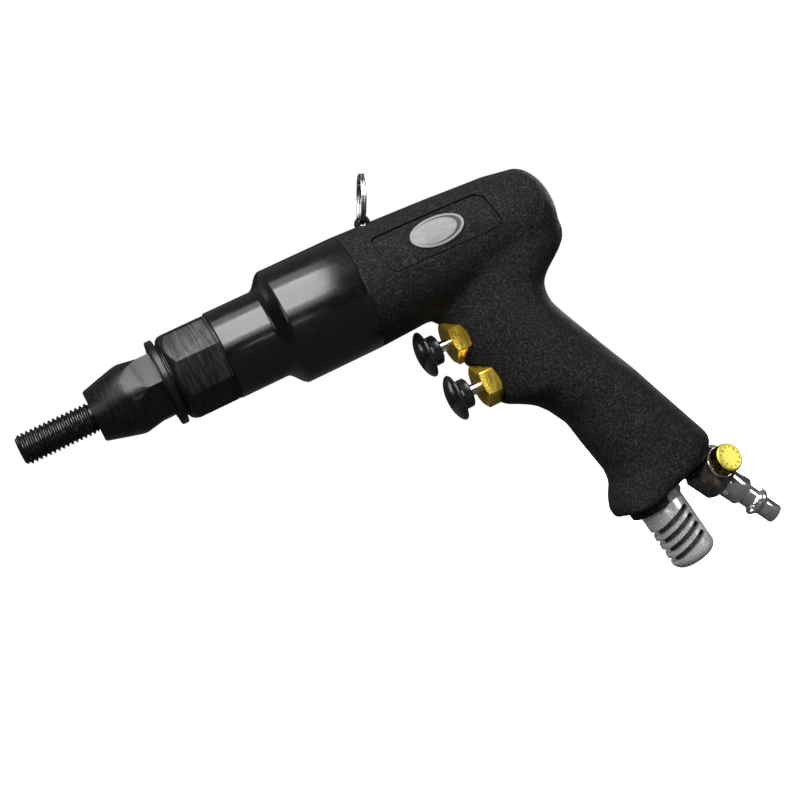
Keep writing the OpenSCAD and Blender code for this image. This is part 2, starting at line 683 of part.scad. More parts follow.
// Lip of the foot that stands in front of the muffler's hex
module muffler_lip() intersection() {
    translate([0, 0, -6]) cylinder(r = muffler_nut_flats / sqrt(3) + 0.2 + lip_wall, h = muffler_nut_t + 6);
    translate([-20, -20, -6]) cube([20, 40, 20]);
}

// ---- push valves; each valve is drawn along its own axis, with z = 0 at its seat ----

module at_valve(v) translate([v[0], 0, v[1]]) along_x(x_valve_seat) children();
x_hub_end = -valve_nut_t - stem_gap;

module push_cap() color("#17181a") rotate_extrude() let (rim = cap_d / 2, z = x_hub_end - hub_len)
    polygon(concat(
        [for (i = [0 : 5]) let (a = 15 + i * 15) [rim * sin(a - 15) / sin(75), z - cap_rim - cap_dome
            * (cos(a - 15) - cos(75)) / (1 - cos(75))]],
        [[rim, z - cap_rim], [rim - 0.2, z - 0.3], [hub_r + 1, z + 0.4], [hub_r, z + 1], [hub_r,
            x_hub_end - 0.8],
         [hub_r - 0.9, x_hub_end], [stem_r, x_hub_end], [stem_r, z], [0, z]]));

module valve_stem() color("gainsboro") {
    translate([0, 0, x_hub_end - hub_len]) cylinder(r = stem_r, h = valve_shank_len + 0.3 - x_hub_end
        + hub_len);
    translate([0, 0, valve_shank_len + 0.3]) bevelled(poppet_r, poppet_t, 0.4);
}

module valve_nut() color("#c9a227") difference() {
    union() {
        intersection() {
            translate([0, 0, -valve_nut_t]) hex_prism(valve_nut_flats, valve_nut_t);
            rotate_extrude() polygon([[0, -valve_nut_t], [valve_nut_flats / 2 - 0.4, -valve_nut_t],
                [valve_nut_flats / 2 + 1.3, -valve_nut_t + 1], [valve_nut_flats / 2 + 1.3, -1],
                [valve_nut_flats / 2 - 0.4, 0], [0, 0]]);
        }
        cylinder(r = valve_shank_r, h = valve_shank_len);
    }
    translate([0, 0, -valve_nut_t - cut]) cylinder(r = stem_r + slide_gap, h = valve_nut_t
        + valve_shank_len + 2 * cut);
    translate([0, 0, valve_shank_len - seal_t]) cylinder(r = seal_r, h = seal_t + cut);
}

// Helical spring wire: rings of points swept along the coil
wire_sides = 6;
turn_steps = 12;
module coil(mean_r, wire, length, turns) let (
    n = turns * turn_steps,
    points = [for (i = [0 : n], k = [0 : wire_sides - 1]) let (a = i * 360 / turn_steps, b = k
        * 360 / wire_sides,
        r = mean_r + wire / 2 * cos(b)) [r * cos(a), r * sin(a), wire / 2 + (length - wire) * i / n
            + wire / 2 * sin(b)]],
    sides = [for (i = [0 : n - 1], k = [0 : wire_sides - 1]) let (k2 = (k + 1) % wire_sides, a = i
        * wire_sides)
        [a + k, a + k2, a + wire_sides + k2, a + wire_sides + k]],
    start = [[for (k = [wire_sides - 1 : -1 : 0]) k]],
    end = [[for (k = [0 : wire_sides - 1]) n * wire_sides + k]])
    polyhedron(points, concat(start, sides, end), convexity = 10);
module valve_spring() color("silver") translate([0, 0, chamber_depth - spring_len])
    coil(spring_mean_r, spring_wire, spring_len, spring_turns);

// ---- inlet, regulator and plug ----

module inlet_bushing() color("#161616") at_inlet() difference() {
    union() {
        translate([0, 0, -inlet_thread_len]) cylinder(r = inlet_thread_r, h = inlet_thread_len);
        bevelled(bushing_flange_r, bushing_flange_t, 0.3);
    }
    translate([0, 0, -inlet_thread_len - cut]) cylinder(r = inlet_bore_r, h = inlet_thread_len
        + bushing_flange_t + 2 * cut);
}

// The regulator's own frame: Z points out of the near face of the inlet body
module at_regulator() at_inlet() translate([0, 0, knob_s]) rotate([-90, 0, 0]) rotate([0, knob_turn,
    0]) children();

module inlet_body() color("#4a4543") difference() {
    at_inlet() difference() {
        translate([0, 0, bushing_flange_t]) intersection() {
            rotate([0, 0, 60 - knob_turn]) cylinder(r = inlet_flats / sqrt(3),
                h = inlet_len - bushing_flange_t, $fn = 6);
            bevelled(inlet_flats / 2 + 1, inlet_len - bushing_flange_t, 1.4);
        }
        cylinder(r = inlet_bore_r, h = inlet_len);
        translate([0, 0, inlet_len - plug_thread_len]) cylinder(r = plug_thread_r,
            h = plug_thread_len + cut);
    }
    at_regulator() cylinder(r = needle_r + run_gap, h = inlet_flats);
}

module regulator_collar() color("silver") at_regulator() translate([0, 0, inlet_flats / 2])
    tube(knob_d / 2 + 0.3, needle_r + run_gap, collar_t);

module regulator_needle() color("gainsboro") at_regulator() {
    translate([0, 0, 0.4]) cylinder(r = needle_r, h = inlet_flats / 2 + collar_t + knob_len - 2.4);
}

knurls = 36;
module regulator_knob() color("#d8c23a") at_regulator() translate([0, 0, inlet_flats / 2 + collar_t
    + 0.1]) difference() {
    union() {
        linear_extrude(knob_len - 1) polygon([for (i = [0 : 2 * knurls - 1]) let (a = i * 180 / knurls,
            r = knob_d / 2 - 0.3 * (i % 2)) [r * cos(a), r * sin(a)]]);
        translate([0, 0, knob_len - 1]) bevelled(knob_d / 2 - 0.3, 1, 0.3);
    }
    translate([0, 0, -cut]) cylinder(r = needle_r, h = knob_len - 2.1 + cut);
}

module air_plug() color("silver") at_inlet() translate([0, 0, inlet_len]) difference() {
    rotate_extrude() let (z1 = plug_body_len, z2 = z1 + plug_neck_len, z3 = z2 + plug_collar_len,
        z4 = z3 + plug_tip_len)
        polygon([[0, -plug_thread_len], [plug_thread_r, -plug_thread_len], [plug_thread_r, 0],
            [plug_body_r - 0.5, 0],
            [plug_body_r, 0.5], [plug_body_r, z1 - 1.2], [plug_neck_r, z1 + 0.3], [plug_neck_r, z2 - 0.8],
            [plug_collar_r - 0.4, z2 + 0.6], [plug_collar_r, z2 + 1], [plug_collar_r, z2 + 1.8],
            [plug_tip_d / 2, z3], [plug_tip_d / 2, z4 - 0.6], [plug_tip_d / 2 - 0.6, z4], [0, z4]]);
    translate([0, 0, -plug_thread_len - cut])
        cylinder(r = plug_bore_r, h = plug_thread_len + plug_body_len + plug_neck_len
            + plug_collar_len + plug_tip_len + 2 * cut);
}

// ---- muffler ----

module muffler_nut() color("#8f8f8f") at_muffler() difference() {
    union() {
        rotate([0, 0, 30]) cylinder(r = muffler_nut_flats / sqrt(3), h = muffler_nut_t, $fn = 6);
        translate([0, 0, -muffler_thread_len]) cylinder(r = muffler_thread_r, h = muffler_thread_len);
    }
    translate([0, 0, -muffler_thread_len - cut])
        cylinder(r = muffler_thread_r - 2, h = muffler_thread_len + muffler_nut_t + 2 * cut);
}

module muffler_body() color("#b9b9b6") at_muffler() translate([0, 0, muffler_nut_t]) difference() {
    rotate_extrude() polygon(concat([[0, 0], [muffler_r - 0.6, 0], [muffler_r, 0.6]],
        [for (i = [0 : 5]) let (a = i * 18) [muffler_r - 4 + 4 * cos(a), muffler_len - 4 + 4 * sin(a)]],
        [[0, muffler_len]]));
    translate([0, 0, muffler_wall]) cylinder(r = muffler_r - muffler_wall, h = muffler_len - 2
        * muffler_wall);
    translate([0, 0, -cut]) cylinder(r = muffler_thread_r - 2, h = muffler_wall + 2 * cut);
    for (i = [0 : slot_count - 1]) translate([0, 0, 6.4 + i * slot_pitch]) rotate([0, slot_tilt, 0])
        translate([-muffler_r - 4, -muffler_r - 2, -slot_w / 2]) cube([2 * muffler_r + 1, 2
            * muffler_r + 4, slot_w]);
}

module muffler_core() color("#55504a") at_muffler() translate([0, 0, muffler_nut_t + muffler_wall])
    tube(muffler_r - muffler_wall - 0.4, muffler_r - muffler_wall - 2.4, muffler_len - 2 * muffler_wall);

// ---- hanging ring, badge and seals ----

z_lug_foot = z_lug - lug_hole_r - 1;
module lug_block() translate([x_lug, 0, 0]) rotate([90, 0, 0]) translate([0, 0, -lug_w / 2])
    linear_extrude(lug_w) {
    translate([-lug_len / 2, z_lug_foot]) square([lug_len, z_lug - z_lug_foot]);
    translate([0, z_lug]) intersection() {
        circle(r = lug_len / 2);
        translate([-lug_len / 2, 0]) square([lug_len, lug_hole_r + lug_roof]);
    }
}
module hanger_lug() color("#2b2b2c") difference() {
    lug_block();
    translate([x_lug, lug_w, z_lug]) rotate([90, 0, 0]) cylinder(r = lug_hole_r, h = 2 * lug_w);
}

module hanging_ring() color("silver") translate([x_lug, 0, z_lug]) rotate([0, ring_lean, 0])
    translate([0, 0, ring_mean_d / 2]) rotate([0, 90, 0]) rotate_extrude() for (s = [-1, 1])
        translate([ring_mean_d / 2, s * wire_offset]) circle(r = wire_r);

module name_badge() color("#cfcfcc") intersection() {
    from_side(x_panel + panel_len / 2 - 0.6, panel_tilt) linear_extrude(2 * housing_r)
        polygon([for (i = [0 : 47]) [badge_len / 2 * cos(i * 7.5), badge_h / 2 * sin(i * 7.5)]]);
    difference() {
        barrel_skin(0.2);
        barrel_skin(-panel_depth);
    }
}

module seal_rings() color("black") {
    along_x(x_case + 2.2) tube(spigot_r, spigot_r - 1.2, 1.6);
    for (v = valves) at_valve(v) translate([0, 0, valve_shank_len - seal_t + 0.1]) tube(seal_r,
        stem_r + slide_gap, seal_t - 0.2);
}

motor_housing();
gear_housing();
nose_adapter();
lock_ring();
nosepiece();
mandrel();
output_spindle();
spindle_outer_race();
spindle_inner_race();
spindle_balls();
thrust_front_washer();
thrust_balls();
thrust_rear_washer();
output_carrier();
output_carrier_ring();
output_pins();
output_planet(0);  // output_planet_1
output_planet(1);  // output_planet_2
output_planet(2);  // output_planet_3
first_carrier();
first_carrier_ring();
first_pins();
first_planet(0);  // first_planet_1
first_planet(1);  // first_planet_2
first_planet(2);  // first_planet_3
ring_gear();
rotor();
rotor_pinion();
vanes();
motor_cylinder();
front_end_plate();
rear_end_plate();
front_outer_race();
front_inner_race();
front_balls();
rear_outer_race();
rear_inner_race();
rear_balls();
at_valve(valves[0]) push_cap();  // forward_button
at_valve(valves[0]) valve_stem();  // forward_stem
at_valve(valves[0]) valve_nut();  // forward_valve_nut
at_valve(valves[0]) valve_spring();  // forward_spring
at_valve(valves[1]) push_cap();  // reverse_button
at_valve(valves[1]) valve_stem();  // reverse_stem
at_valve(valves[1]) valve_nut();  // reverse_valve_nut
at_valve(valves[1]) valve_spring();  // reverse_spring
inlet_body();
inlet_bushing();
air_plug();
regulator_knob();
regulator_needle();
regulator_collar();
muffler_nut();
muffler_body();
muffler_core();
hanger_lug();
hanging_ring();
name_badge();
seal_rings();
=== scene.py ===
"""Pneumatic rivet nut setting gun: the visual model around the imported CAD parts.

Lengths in the tables are millimetres; MM turns them into scene metres. The barrel axis is X, the
mandrel points to -X and the grip hangs to -Z. Pieces that lean, such as the muffler, are drawn
along their own Z and then put in place.
"""

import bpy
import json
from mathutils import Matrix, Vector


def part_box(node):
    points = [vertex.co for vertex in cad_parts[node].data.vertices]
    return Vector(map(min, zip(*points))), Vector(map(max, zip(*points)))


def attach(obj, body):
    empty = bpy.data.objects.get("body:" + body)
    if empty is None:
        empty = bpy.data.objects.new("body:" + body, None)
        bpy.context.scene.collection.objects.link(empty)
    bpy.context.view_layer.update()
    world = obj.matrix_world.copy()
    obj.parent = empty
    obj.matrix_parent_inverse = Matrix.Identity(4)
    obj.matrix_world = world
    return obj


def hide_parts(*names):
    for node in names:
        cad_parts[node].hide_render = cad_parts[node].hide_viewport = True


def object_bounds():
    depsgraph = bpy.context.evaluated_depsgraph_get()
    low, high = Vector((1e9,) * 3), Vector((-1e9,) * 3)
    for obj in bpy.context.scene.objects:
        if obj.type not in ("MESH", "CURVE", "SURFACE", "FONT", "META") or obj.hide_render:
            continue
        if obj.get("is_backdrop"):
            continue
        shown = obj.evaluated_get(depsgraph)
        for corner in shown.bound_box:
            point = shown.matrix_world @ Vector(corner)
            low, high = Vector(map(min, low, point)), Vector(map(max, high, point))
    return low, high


bl_info = {
    "name": "Rivet Nut Gun",
    "version": (1, 0, 0),
    "blender": (4, 5, 0),
    "location": "3D View > Sidebar > Rivet Gun",
    "description": "Builds a pneumatic rivet nut gun with its finishes and a plain studio",
    "category": "Object",
}

import json
from math import atan2, ceil, cos, pi, radians, sin, sqrt

import bpy
from mathutils import Matrix, Vector

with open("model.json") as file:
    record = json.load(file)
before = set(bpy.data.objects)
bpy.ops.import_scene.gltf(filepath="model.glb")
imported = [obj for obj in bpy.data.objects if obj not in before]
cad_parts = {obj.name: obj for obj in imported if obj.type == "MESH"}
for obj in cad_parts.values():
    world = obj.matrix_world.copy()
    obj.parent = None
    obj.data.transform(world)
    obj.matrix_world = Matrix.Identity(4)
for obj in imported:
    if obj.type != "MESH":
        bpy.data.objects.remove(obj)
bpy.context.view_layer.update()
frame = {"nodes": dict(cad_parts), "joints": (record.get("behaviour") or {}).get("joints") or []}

MM = 0.001
JOINTS = {joint["name"]: joint for joint in frame["joints"]}


def low(node):
    """Lowest corner of a CAD node, in millimetres."""
    return [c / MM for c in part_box(node)[0]]


def high(node):
    """Highest corner of a CAD node, in millimetres."""
    return [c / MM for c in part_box(node)[1]]


# Stations along the barrel
X_RING = low("lock_ring")[0]
X_ADAPTER = low("nose_adapter")[0]
X_CASE = low("gear_housing")[0]
X_HOUSING = low("motor_housing")[0]
X_MOTOR_END = high("rear_end_plate")[0]
X_LUG = (low("hanger_lug")[0] + high("hanger_lug")[0]) / 2
BADGE_X = (low("name_badge")[0] + high("name_badge")[0]) / 2

# Places of the two push valves: seat along X, height
NUT_FRONT = 7.2
VALVES = {
    "forward": (low("forward_valve_nut")[0] + NUT_FRONT,
                (low("forward_button")[2] + high("forward_button")[2]) / 2),
    "reverse": (low("reverse_valve_nut")[0] + NUT_FRONT,
                (low("reverse_button")[2] + high("reverse_button")[2]) / 2),
}


# ---------------------------------------------------------------- places

def along_barrel(x, z=0.0):
    """Local Z runs to the rear along the barrel, starting at x."""
    return Matrix.Translation((x * MM, 0, z * MM)) @ Matrix.Rotation(pi / 2, 4, "Y")


def hung(x, z, lean):
    """Local Z runs down and to the rear, leaning from the vertical."""
    return (Matrix.Translation((x * MM, 0, z * MM)) @ Matrix.Rotation(-lean, 4, "Y")
            @ Matrix.Rotation(pi, 4, "X"))


INLET_LEAN = radians(31)
KNOB_DISTANCE = 6.4
KNOB_TURN = radians(20)
INLET_FLATS = 17.0
_knob = Vector(JOINTS["regulator_turn"]["pos_m"]) / MM
INLET = hung(_knob.x - KNOB_DISTANCE * sin(INLET_LEAN), _knob.z + KNOB_DISTANCE * cos(INLET_LEAN),
             INLET_LEAN)
REGULATOR = (INLET @ Matrix.Translation((0, 0, KNOB_DISTANCE * MM)) @ Matrix.Rotation(-pi / 2, 4,
                                                                                      "X")
             @ Matrix.Rotation(KNOB_TURN, 4, "Y"))
MUFFLER_LEAN = radians(8.6)
MUFFLER = hung(179.988, -121.5, MUFFLER_LEAN)


# ---------------------------------------------------------------- hand tools

def put_down():
    """Leaves edit mode and deselects everything."""
    if bpy.context.object and bpy.context.object.mode != "OBJECT":
        bpy.ops.object.mode_set(mode="OBJECT")
    bpy.ops.object.select_all(action="DESELECT")


def take(piece):
    """Makes a piece the only one selected."""
    put_down()
    piece.select_set(True)
    bpy.context.view_layer.objects.active = piece
    return piece


def named(name):
    """The primitive just added, under its name."""
    piece = bpy.context.object
    piece.name = name
    piece.data.name = name
    return piece


def settle(piece, place=None):
    """Puts a piece in its place and applies the place to its mesh."""
    if place is not None:
        piece.matrix_world = place @ piece.matrix_world
    take(piece)
    bpy.ops.object.transform_apply(location=True, rotation=True, scale=True)
    return piece


def closed(piece):
    """Merges doubles and points every face outwards."""
    take(piece)
    bpy.ops.object.mode_set(mode="EDIT")
    bpy.ops.mesh.select_all(action="SELECT")
    bpy.ops.mesh.remove_doubles(threshold=1e-7)
    bpy.ops.mesh.normals_make_consistent(inside=False)
    bpy.ops.object.mode_set(mode="OBJECT")
    return piece


def modify(piece, kind, **values):
    """Adds a modifier with the given values and applies it."""
    take(piece)
    bpy.ops.object.modifier_add(type=kind)
    modifier = piece.modifiers[-1]
    for key, value in values.items():
        setattr(modifier, key, value)
    bpy.ops.object.modifier_apply(modifier=modifier.name)
    return piece


def carve(piece, tool, operation="DIFFERENCE"):
    """Cuts, joins or intersects a piece with a tool, which is used up."""
    modify(piece, "BOOLEAN", operation=operation, object=tool, solver="MANIFOLD")
    bpy.data.objects.remove(tool)
    return piece


def softened(piece, width, segments=2, angle=30):
    """Rounds the sharp edges of a piece."""
    return modify(piece, "BEVEL", width=width * MM, segments=segments, limit_method="ANGLE",
                  angle_limit=radians(angle), use_clamp_overlap=True)


def picked(piece, test):
    """Selects the faces that pass a test of centre and normal, in edit mode."""
    take(piece)
    bpy.ops.object.mode_set(mode="EDIT")
    bpy.ops.mesh.select_mode(type="FACE")
    bpy.ops.mesh.select_all(action="DESELECT")
    bpy.ops.object.mode_set(mode="OBJECT")
    for face in piece.data.polygons:
        face.select = test(face.center, face.normal)
    bpy.ops.object.mode_set(mode="EDIT")


def drawn(name, profile):
    """A line of (radius, height) points, extruded from one point; leaves it in edit mode."""
    put_down()
    bpy.ops.mesh.primitive_plane_add(size=MM)
    piece = named(name)
    bpy.ops.object.mode_set(mode="EDIT")
    bpy.ops.mesh.select_mode(type="VERT")
    bpy.ops.mesh.select_all(action="SELECT")
    bpy.ops.mesh.merge(type="CENTER")
    bpy.ops.transform.translate(value=(profile[0][0] * MM, 0, profile[0][1] * MM))
    for (r0, z0), (r1, z1) in zip(profile, profile[1:]):
        bpy.ops.mesh.extrude_vertices_move(
            TRANSFORM_OT_translate={"value": ((r1 - r0) * MM, 0, (z1 - z0) * MM)})
    return piece


def turned(name, profile, place, steps=96):
    """A turned body: (radius, height) points about the local Z axis."""
    piece = drawn(name, profile)
    bpy.ops.mesh.select_all(action="SELECT")
    bpy.ops.mesh.spin(steps=steps, angle=2 * pi, center=(0, 0, 0), axis=(0, 0, 1))
    bpy.ops.object.mode_set(mode="OBJECT")
    closed(piece)
    return settle(piece, place)


def prism(name, sides, flats, z0, z1, place, turn=0.0):
    """A prism with the given distance across its flats, along the local Z axis."""
    put_down()
    bpy.ops.mesh.primitive_cylinder_add(
        vertices=sides, radius=flats / 2 / cos(pi / sides) * MM, depth=(z1 - z0) * MM,
        location=(0, 0, (z0 + z1) / 2 * MM), rotation=(0, 0, turn))
    return settle(named(name), place)


def rod(name, radius, z0, z1, place, sides=64):
    """A round bar along the local Z axis."""
    return prism(name, sides, 2 * radius * cos(pi / sides), z0, z1, place)


def block(name, size, centre, place):
    """A box with the given size and centre."""
    put_down()
    bpy.ops.mesh.primitive_cube_add(size=1, location=[c * MM for c in centre],
                                    scale=[s * MM for s in size])
    return settle(named(name), place)


def arc(r, z, radius, start, end, steps):
    """Points on an arc about (r, z), with angles in degrees."""
    return [(r + radius * cos(radians(start + (end - start) * i / steps)),
             z + radius * sin(radians(start + (end - start) * i / steps)))
            for i in range(steps + 1)]


def finish(piece, slot, body="root", nodes=(), angle=32):
    """Shades a piece, gives it its finish, and lets it ride on its body for its CAD nodes."""
    take(piece)
    bpy.ops.object.shade_smooth_by_angle(angle=radians(angle))
    piece.data.materials.clear()
    piece.data.materials.append(finish_of(slot))
    for face in piece.data.polygons:
        face.material_index = 0
    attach(piece, body)
    if nodes:
        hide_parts(*nodes)
    return piece


# ---------------------------------------------------------------- shared surface effects

def add(tree, kind, links=None, values=None, **settings):
    """Adds a node with its settings, its input values and the sockets that feed it."""
    node = tree.nodes.new(kind)
    for key, value in settings.items():
        setattr(node, key, value)
    for key, value in (values or {}).items():
        node.inputs[key].default_value = value
    for key, socket in (links or {}).items():
        tree.links.new(socket, node.inputs[key])
    return node


def effect(name, inputs, outputs, build):
    """A node group with named sockets; build() wires it and returns what feeds each output."""
    if name in bpy.data.node_groups:
        return bpy.data.node_groups[name]
    group = bpy.data.node_groups.new(name, "ShaderNodeTree")
    for label, kind, value in inputs:
        socket = group.interface.new_socket(name=label, in_out="INPUT", socket_type=kind)
        if value is not None:
            socket.default_value = value
    for label in outputs:
        group.interface.new_socket(name=label, in_out="OUTPUT", socket_type="NodeSocketFloat")
    entry = add(group, "NodeGroupInput")
    leave = add(group, "NodeGroupOutput")
    for label, socket in zip(outputs, build(group, entry)):
        group.links.new(socket, leave.inputs[label])
    return group


def stretched(tree, socket, low_in, high_in, low_out=0.0, high_out=1.0):
    """Maps a value smoothly from one range to another."""
    return add(tree, "ShaderNodeMapRange", {"Value": socket},
               {"From Min": low_in, "From Max": high_in, "To Min": low_out, "To Max": high_out},
               interpolation_type="SMOOTHSTEP").outputs["Result"]


def moulded_grain():
    """Fine pebbled grain of moulded or cast surfaces."""
    def build(tree, entry):
        pebbles = add(tree, "ShaderNodeTexVoronoi", {"Vector": entry.outputs["Vector"],
                                                     "Scale": entry.outputs["Scale"]},
                      {"Randomness": 1.0}, feature="SMOOTH_F1")
        speckle = add(tree, "ShaderNodeTexNoise", {"Vector": entry.outputs["Vector"],
                                                   "Scale": entry.outputs["Scale"]},
                      {"Detail": 3.0, "Roughness": 0.65})
        grain = stretched(tree, speckle.outputs["Fac"], 0.32, 0.68)
        height = add(tree, "ShaderNodeMath", {0: grain, 1: pebbles.outputs["Distance"]},
                     operation="SUBTRACT")
        mask = stretched(tree, speckle.outputs["Fac"], 0.46, 0.7)
        return height.outputs[0], mask
    return effect("Moulded grain", [("Vector", "NodeSocketVector", None),
                                    ("Scale", "NodeSocketFloat", 1200.0)],
                  ["Height", "Mask"], build)


def tool_marks():
    """Fine cutter lines; the vector is squeezed across them first."""
    def build(tree, entry):
        lines = add(tree, "ShaderNodeTexNoise", {"Vector": entry.outputs["Vector"],
                                                 "Scale": entry.outputs["Scale"]},
                    {"Detail": 2.0, "Roughness": 0.7})
        bands = add(tree, "ShaderNodeTexNoise", {"Vector": entry.outputs["Vector"]},
                    {"Scale": 90.0, "Detail": 1.0})
        height = stretched(tree, lines.outputs["Fac"], 0.3, 0.7)
        mask = add(tree, "ShaderNodeMath", {0: height, 1: stretched(tree, bands.outputs["Fac"],
                                                                    0.35, 0.65, 0.35, 1.0)},
                   operation="MULTIPLY")
        return height, mask.outputs[0]
    return effect("Tool marks", [("Vector", "NodeSocketVector", None), ("Scale", "NodeSocketFloat",
                                                                        900.0)],
                  ["Height", "Mask"], build)


def handling():
    """Broad uneven patches where a surface has been handled or oiled."""
    def build(tree, entry):
        patches = add(tree, "ShaderNodeTexNoise", {"Vector": entry.outputs["Vector"],
                                                   "Scale": entry.outputs["Scale"]},
                      {"Detail": 5.0, "Roughness": 0.6, "Distortion": 0.6})
        return (stretched(tree, patches.outputs["Fac"], 0.35, 0.7),)
    return effect("Handling", [("Vector", "NodeSocketVector", None), ("Scale", "NodeSocketFloat",
                                                                      60.0)],
                  ["Mask"], build)


EFFECTS = {"grain": moulded_grain, "marks": tool_marks}

def look_of(base, second, metal, rough, kind, scale, bump, **more):
    """A row of the table of finishes: base and second colour, metal, roughness range, effect with
    its scale, and bump depth in millimetres. A few rows add a stretch, a coat or a shine."""
    return dict(base=base, second=second, metal=metal, rough=rough, kind=kind, scale=scale,
                bump=bump, **more)


SURFACES = {
    "textured_housing": look_of((0.001, 0.001, 0.0012), (0.032, 0.032, 0.0326), 0.0, (0.42, 0.62),
                                "grain", 1450, 0.2, shine=0.13),
    "gloss_black_case": look_of((0.002, 0.002, 0.0022), (0.004, 0.004, 0.0045), 0.0, (0.16, 0.23),
                                "grain", 380, 0.0012, shine=0.52),
    "machined_dark_steel": look_of((0.011, 0.011, 0.0115), (0.045, 0.045, 0.046), 0.85, (0.3, 0.46),
                                   "marks", 110, 0.02, stretch=(16, 1, 1)),
    "blackened_steel": look_of((0.002, 0.002, 0.0022), (0.007, 0.007, 0.0073), 0.3, (0.2, 0.34),
                               "marks", 300, 0.006, stretch=(6, 1, 1), shine=0.4),
    "mandrel_steel": look_of((0.02, 0.02, 0.021), (0.07, 0.07, 0.07), 0.8, (0.18, 0.34), "grain",
                             600, 0.01),
    "ground_steel": look_of((0.42, 0.42, 0.43), (0.58, 0.58, 0.59), 1.0, (0.24, 0.4), "marks", 400,
                            0.004, stretch=(8, 1, 1)),
    "bearing_steel": look_of((0.62, 0.62, 0.63), (0.74, 0.74, 0.75), 1.0, (0.1, 0.2), "marks", 400,
                             0.001, stretch=(6, 1, 1)),
    "vane_composite": look_of((0.16, 0.085, 0.04), (0.3, 0.17, 0.09), 0.0, (0.45, 0.65), "grain",
                              900, 0.02),
    "plate_aluminium": look_of((0.5, 0.5, 0.51), (0.66, 0.66, 0.67), 1.0, (0.28, 0.42), "marks",
                               300, 0.006, stretch=(8, 1, 1)),
    "black_cap_plastic": look_of((0.005, 0.005, 0.006), (0.012, 0.012, 0.014), 0.0, (0.18, 0.3),
                                 "grain", 700, 0.003, coat=0.3),
    "polished_stem": look_of((0.62, 0.62, 0.63), (0.8, 0.8, 0.8), 1.0, (0.08, 0.2), "marks", 300,
                             0.002, stretch=(8, 1, 1)),
    "spring_steel": look_of((0.4, 0.4, 0.4), (0.55, 0.55, 0.55), 1.0, (0.25, 0.4), "grain", 900,
                            0.002),
    "valve_brass": look_of((0.52, 0.32, 0.02), (0.98, 0.74, 0.12), 0.85, (0.16, 0.3), "marks", 160,
                           0.003, stretch=(5, 1, 1)),
    "inlet_bronze": look_of((0.07, 0.062, 0.055), (0.22, 0.2, 0.18), 0.75, (0.24, 0.42), "grain",
                            420, 0.01),
    "knob_brass": look_of((0.42, 0.35, 0.045), (0.56, 0.48, 0.08), 0.5, (0.3, 0.42), "grain", 1500,
                          0.003),
    # knob_side: a darker copy of the knob's brass, painted shade for the knurled side of the knob
    "knob_side": look_of((0.03, 0.02, 0.004), (0.3, 0.2, 0.04), 1.0, (0.28, 0.45), "grain", 900,
                         0.006),
    "plated_steel": look_of((0.6, 0.6, 0.605), (0.8, 0.8, 0.8), 0.93, (0.1, 0.2), "grain", 260,
                            0.002),
    "zinc_nut": look_of((0.26, 0.26, 0.265), (0.45, 0.45, 0.45), 0.7, (0.3, 0.5), "grain", 500,
                        0.01),
    "cast_muffler": look_of((0.64, 0.64, 0.63), (0.74, 0.74, 0.73), 0.68, (0.2, 0.34), "grain",
                            1000, 0.012),
    "sintered_core": look_of((0.03, 0.027, 0.024), (0.12, 0.11, 0.1), 0.3, (0.6, 0.85), "grain",
                             1100, 0.15),
    "ring_chrome": look_of((0.6, 0.6, 0.6), (0.78, 0.78, 0.78), 1.0, (0.1, 0.22), "grain", 500,
                           0.002),
    "badge_silver": look_of((0.13, 0.13, 0.128), (0.19, 0.19, 0.187), 0.1, (0.5, 0.62), "marks",
                            260, 0.001, stretch=(1, 1, 5)),
    "badge_line": look_of((0.006, 0.006, 0.006), (0.02, 0.02, 0.02), 0.0, (0.35, 0.5), "grain", 900,
                          0.004),
    "seal_rubber": look_of((0.008, 0.008, 0.008), (0.02, 0.02, 0.02), 0.0, (0.5, 0.7), "grain",
                           1400, 0.01),
}


def surface(name, base, second, metal, rough, kind, scale, bump, stretch=(1, 1, 1), coat=0.0,
            shine=0.5):
    """A finish: its effect feeds colour, roughness and bump, and handling varies the gloss."""
    material = bpy.data.materials.new(name + "_finish")
    material.use_nodes = True
    tree = material.node_tree
    tree.nodes.clear()
    place = add(tree, "ShaderNodeTexCoord")
    mapping = add(tree, "ShaderNodeMapping", {"Vector": place.outputs["Object"]})
    mapping.inputs["Scale"].default_value = stretch
    pattern = add(tree, "ShaderNodeGroup", node_tree=EFFECTS[kind]())
    tree.links.new(mapping.outputs["Vector"], pattern.inputs["Vector"])
    pattern.inputs["Scale"].default_value = scale
    hands = add(tree, "ShaderNodeGroup", node_tree=handling())
    tree.links.new(place.outputs["Object"], hands.inputs["Vector"])
    colour = add(tree, "ShaderNodeMix", {"Factor": pattern.outputs["Mask"]}, data_type="RGBA")
    for socket, value in (("A", base), ("B", second)):
        for item in colour.inputs:
            if item.name == socket and item.type == "RGBA":
                item.default_value = (*value, 1)
    blend = add(tree, "ShaderNodeMath", {0: pattern.outputs["Mask"], 1: hands.outputs["Mask"]},
                operation="ADD")
    gloss = add(tree, "ShaderNodeMapRange", {"Value": blend.outputs[0]},
                {"From Min": 0.0, "From Max": 1.6, "To Min": rough[0], "To Max": rough[1]})
    relief = add(tree, "ShaderNodeBump", {"Height": pattern.outputs["Height"]},
                 {"Strength": 1.0, "Distance": bump * MM})
    shader = add(tree, "ShaderNodeBsdfPrincipled", {"Roughness": gloss.outputs["Result"],
                                                    "Normal": relief.outputs["Normal"]},
                 {"Metallic": metal, "Coat Weight": coat, "Coat Roughness": 0.06,
                  "Specular IOR Level": shine})
    for item in colour.outputs:
        if item.type == "RGBA":
            tree.links.new(item, shader.inputs["Base Color"])
    add(tree, "ShaderNodeOutputMaterial", {"Surface": shader.outputs["BSDF"]})
    return material


def finish_of(slot):
    """The finish of a material slot, made once."""
    made = bpy.data.materials.get(slot + "_finish")
    return made or surface(slot, **SURFACES[slot])


# ---------------------------------------------------------------- housing

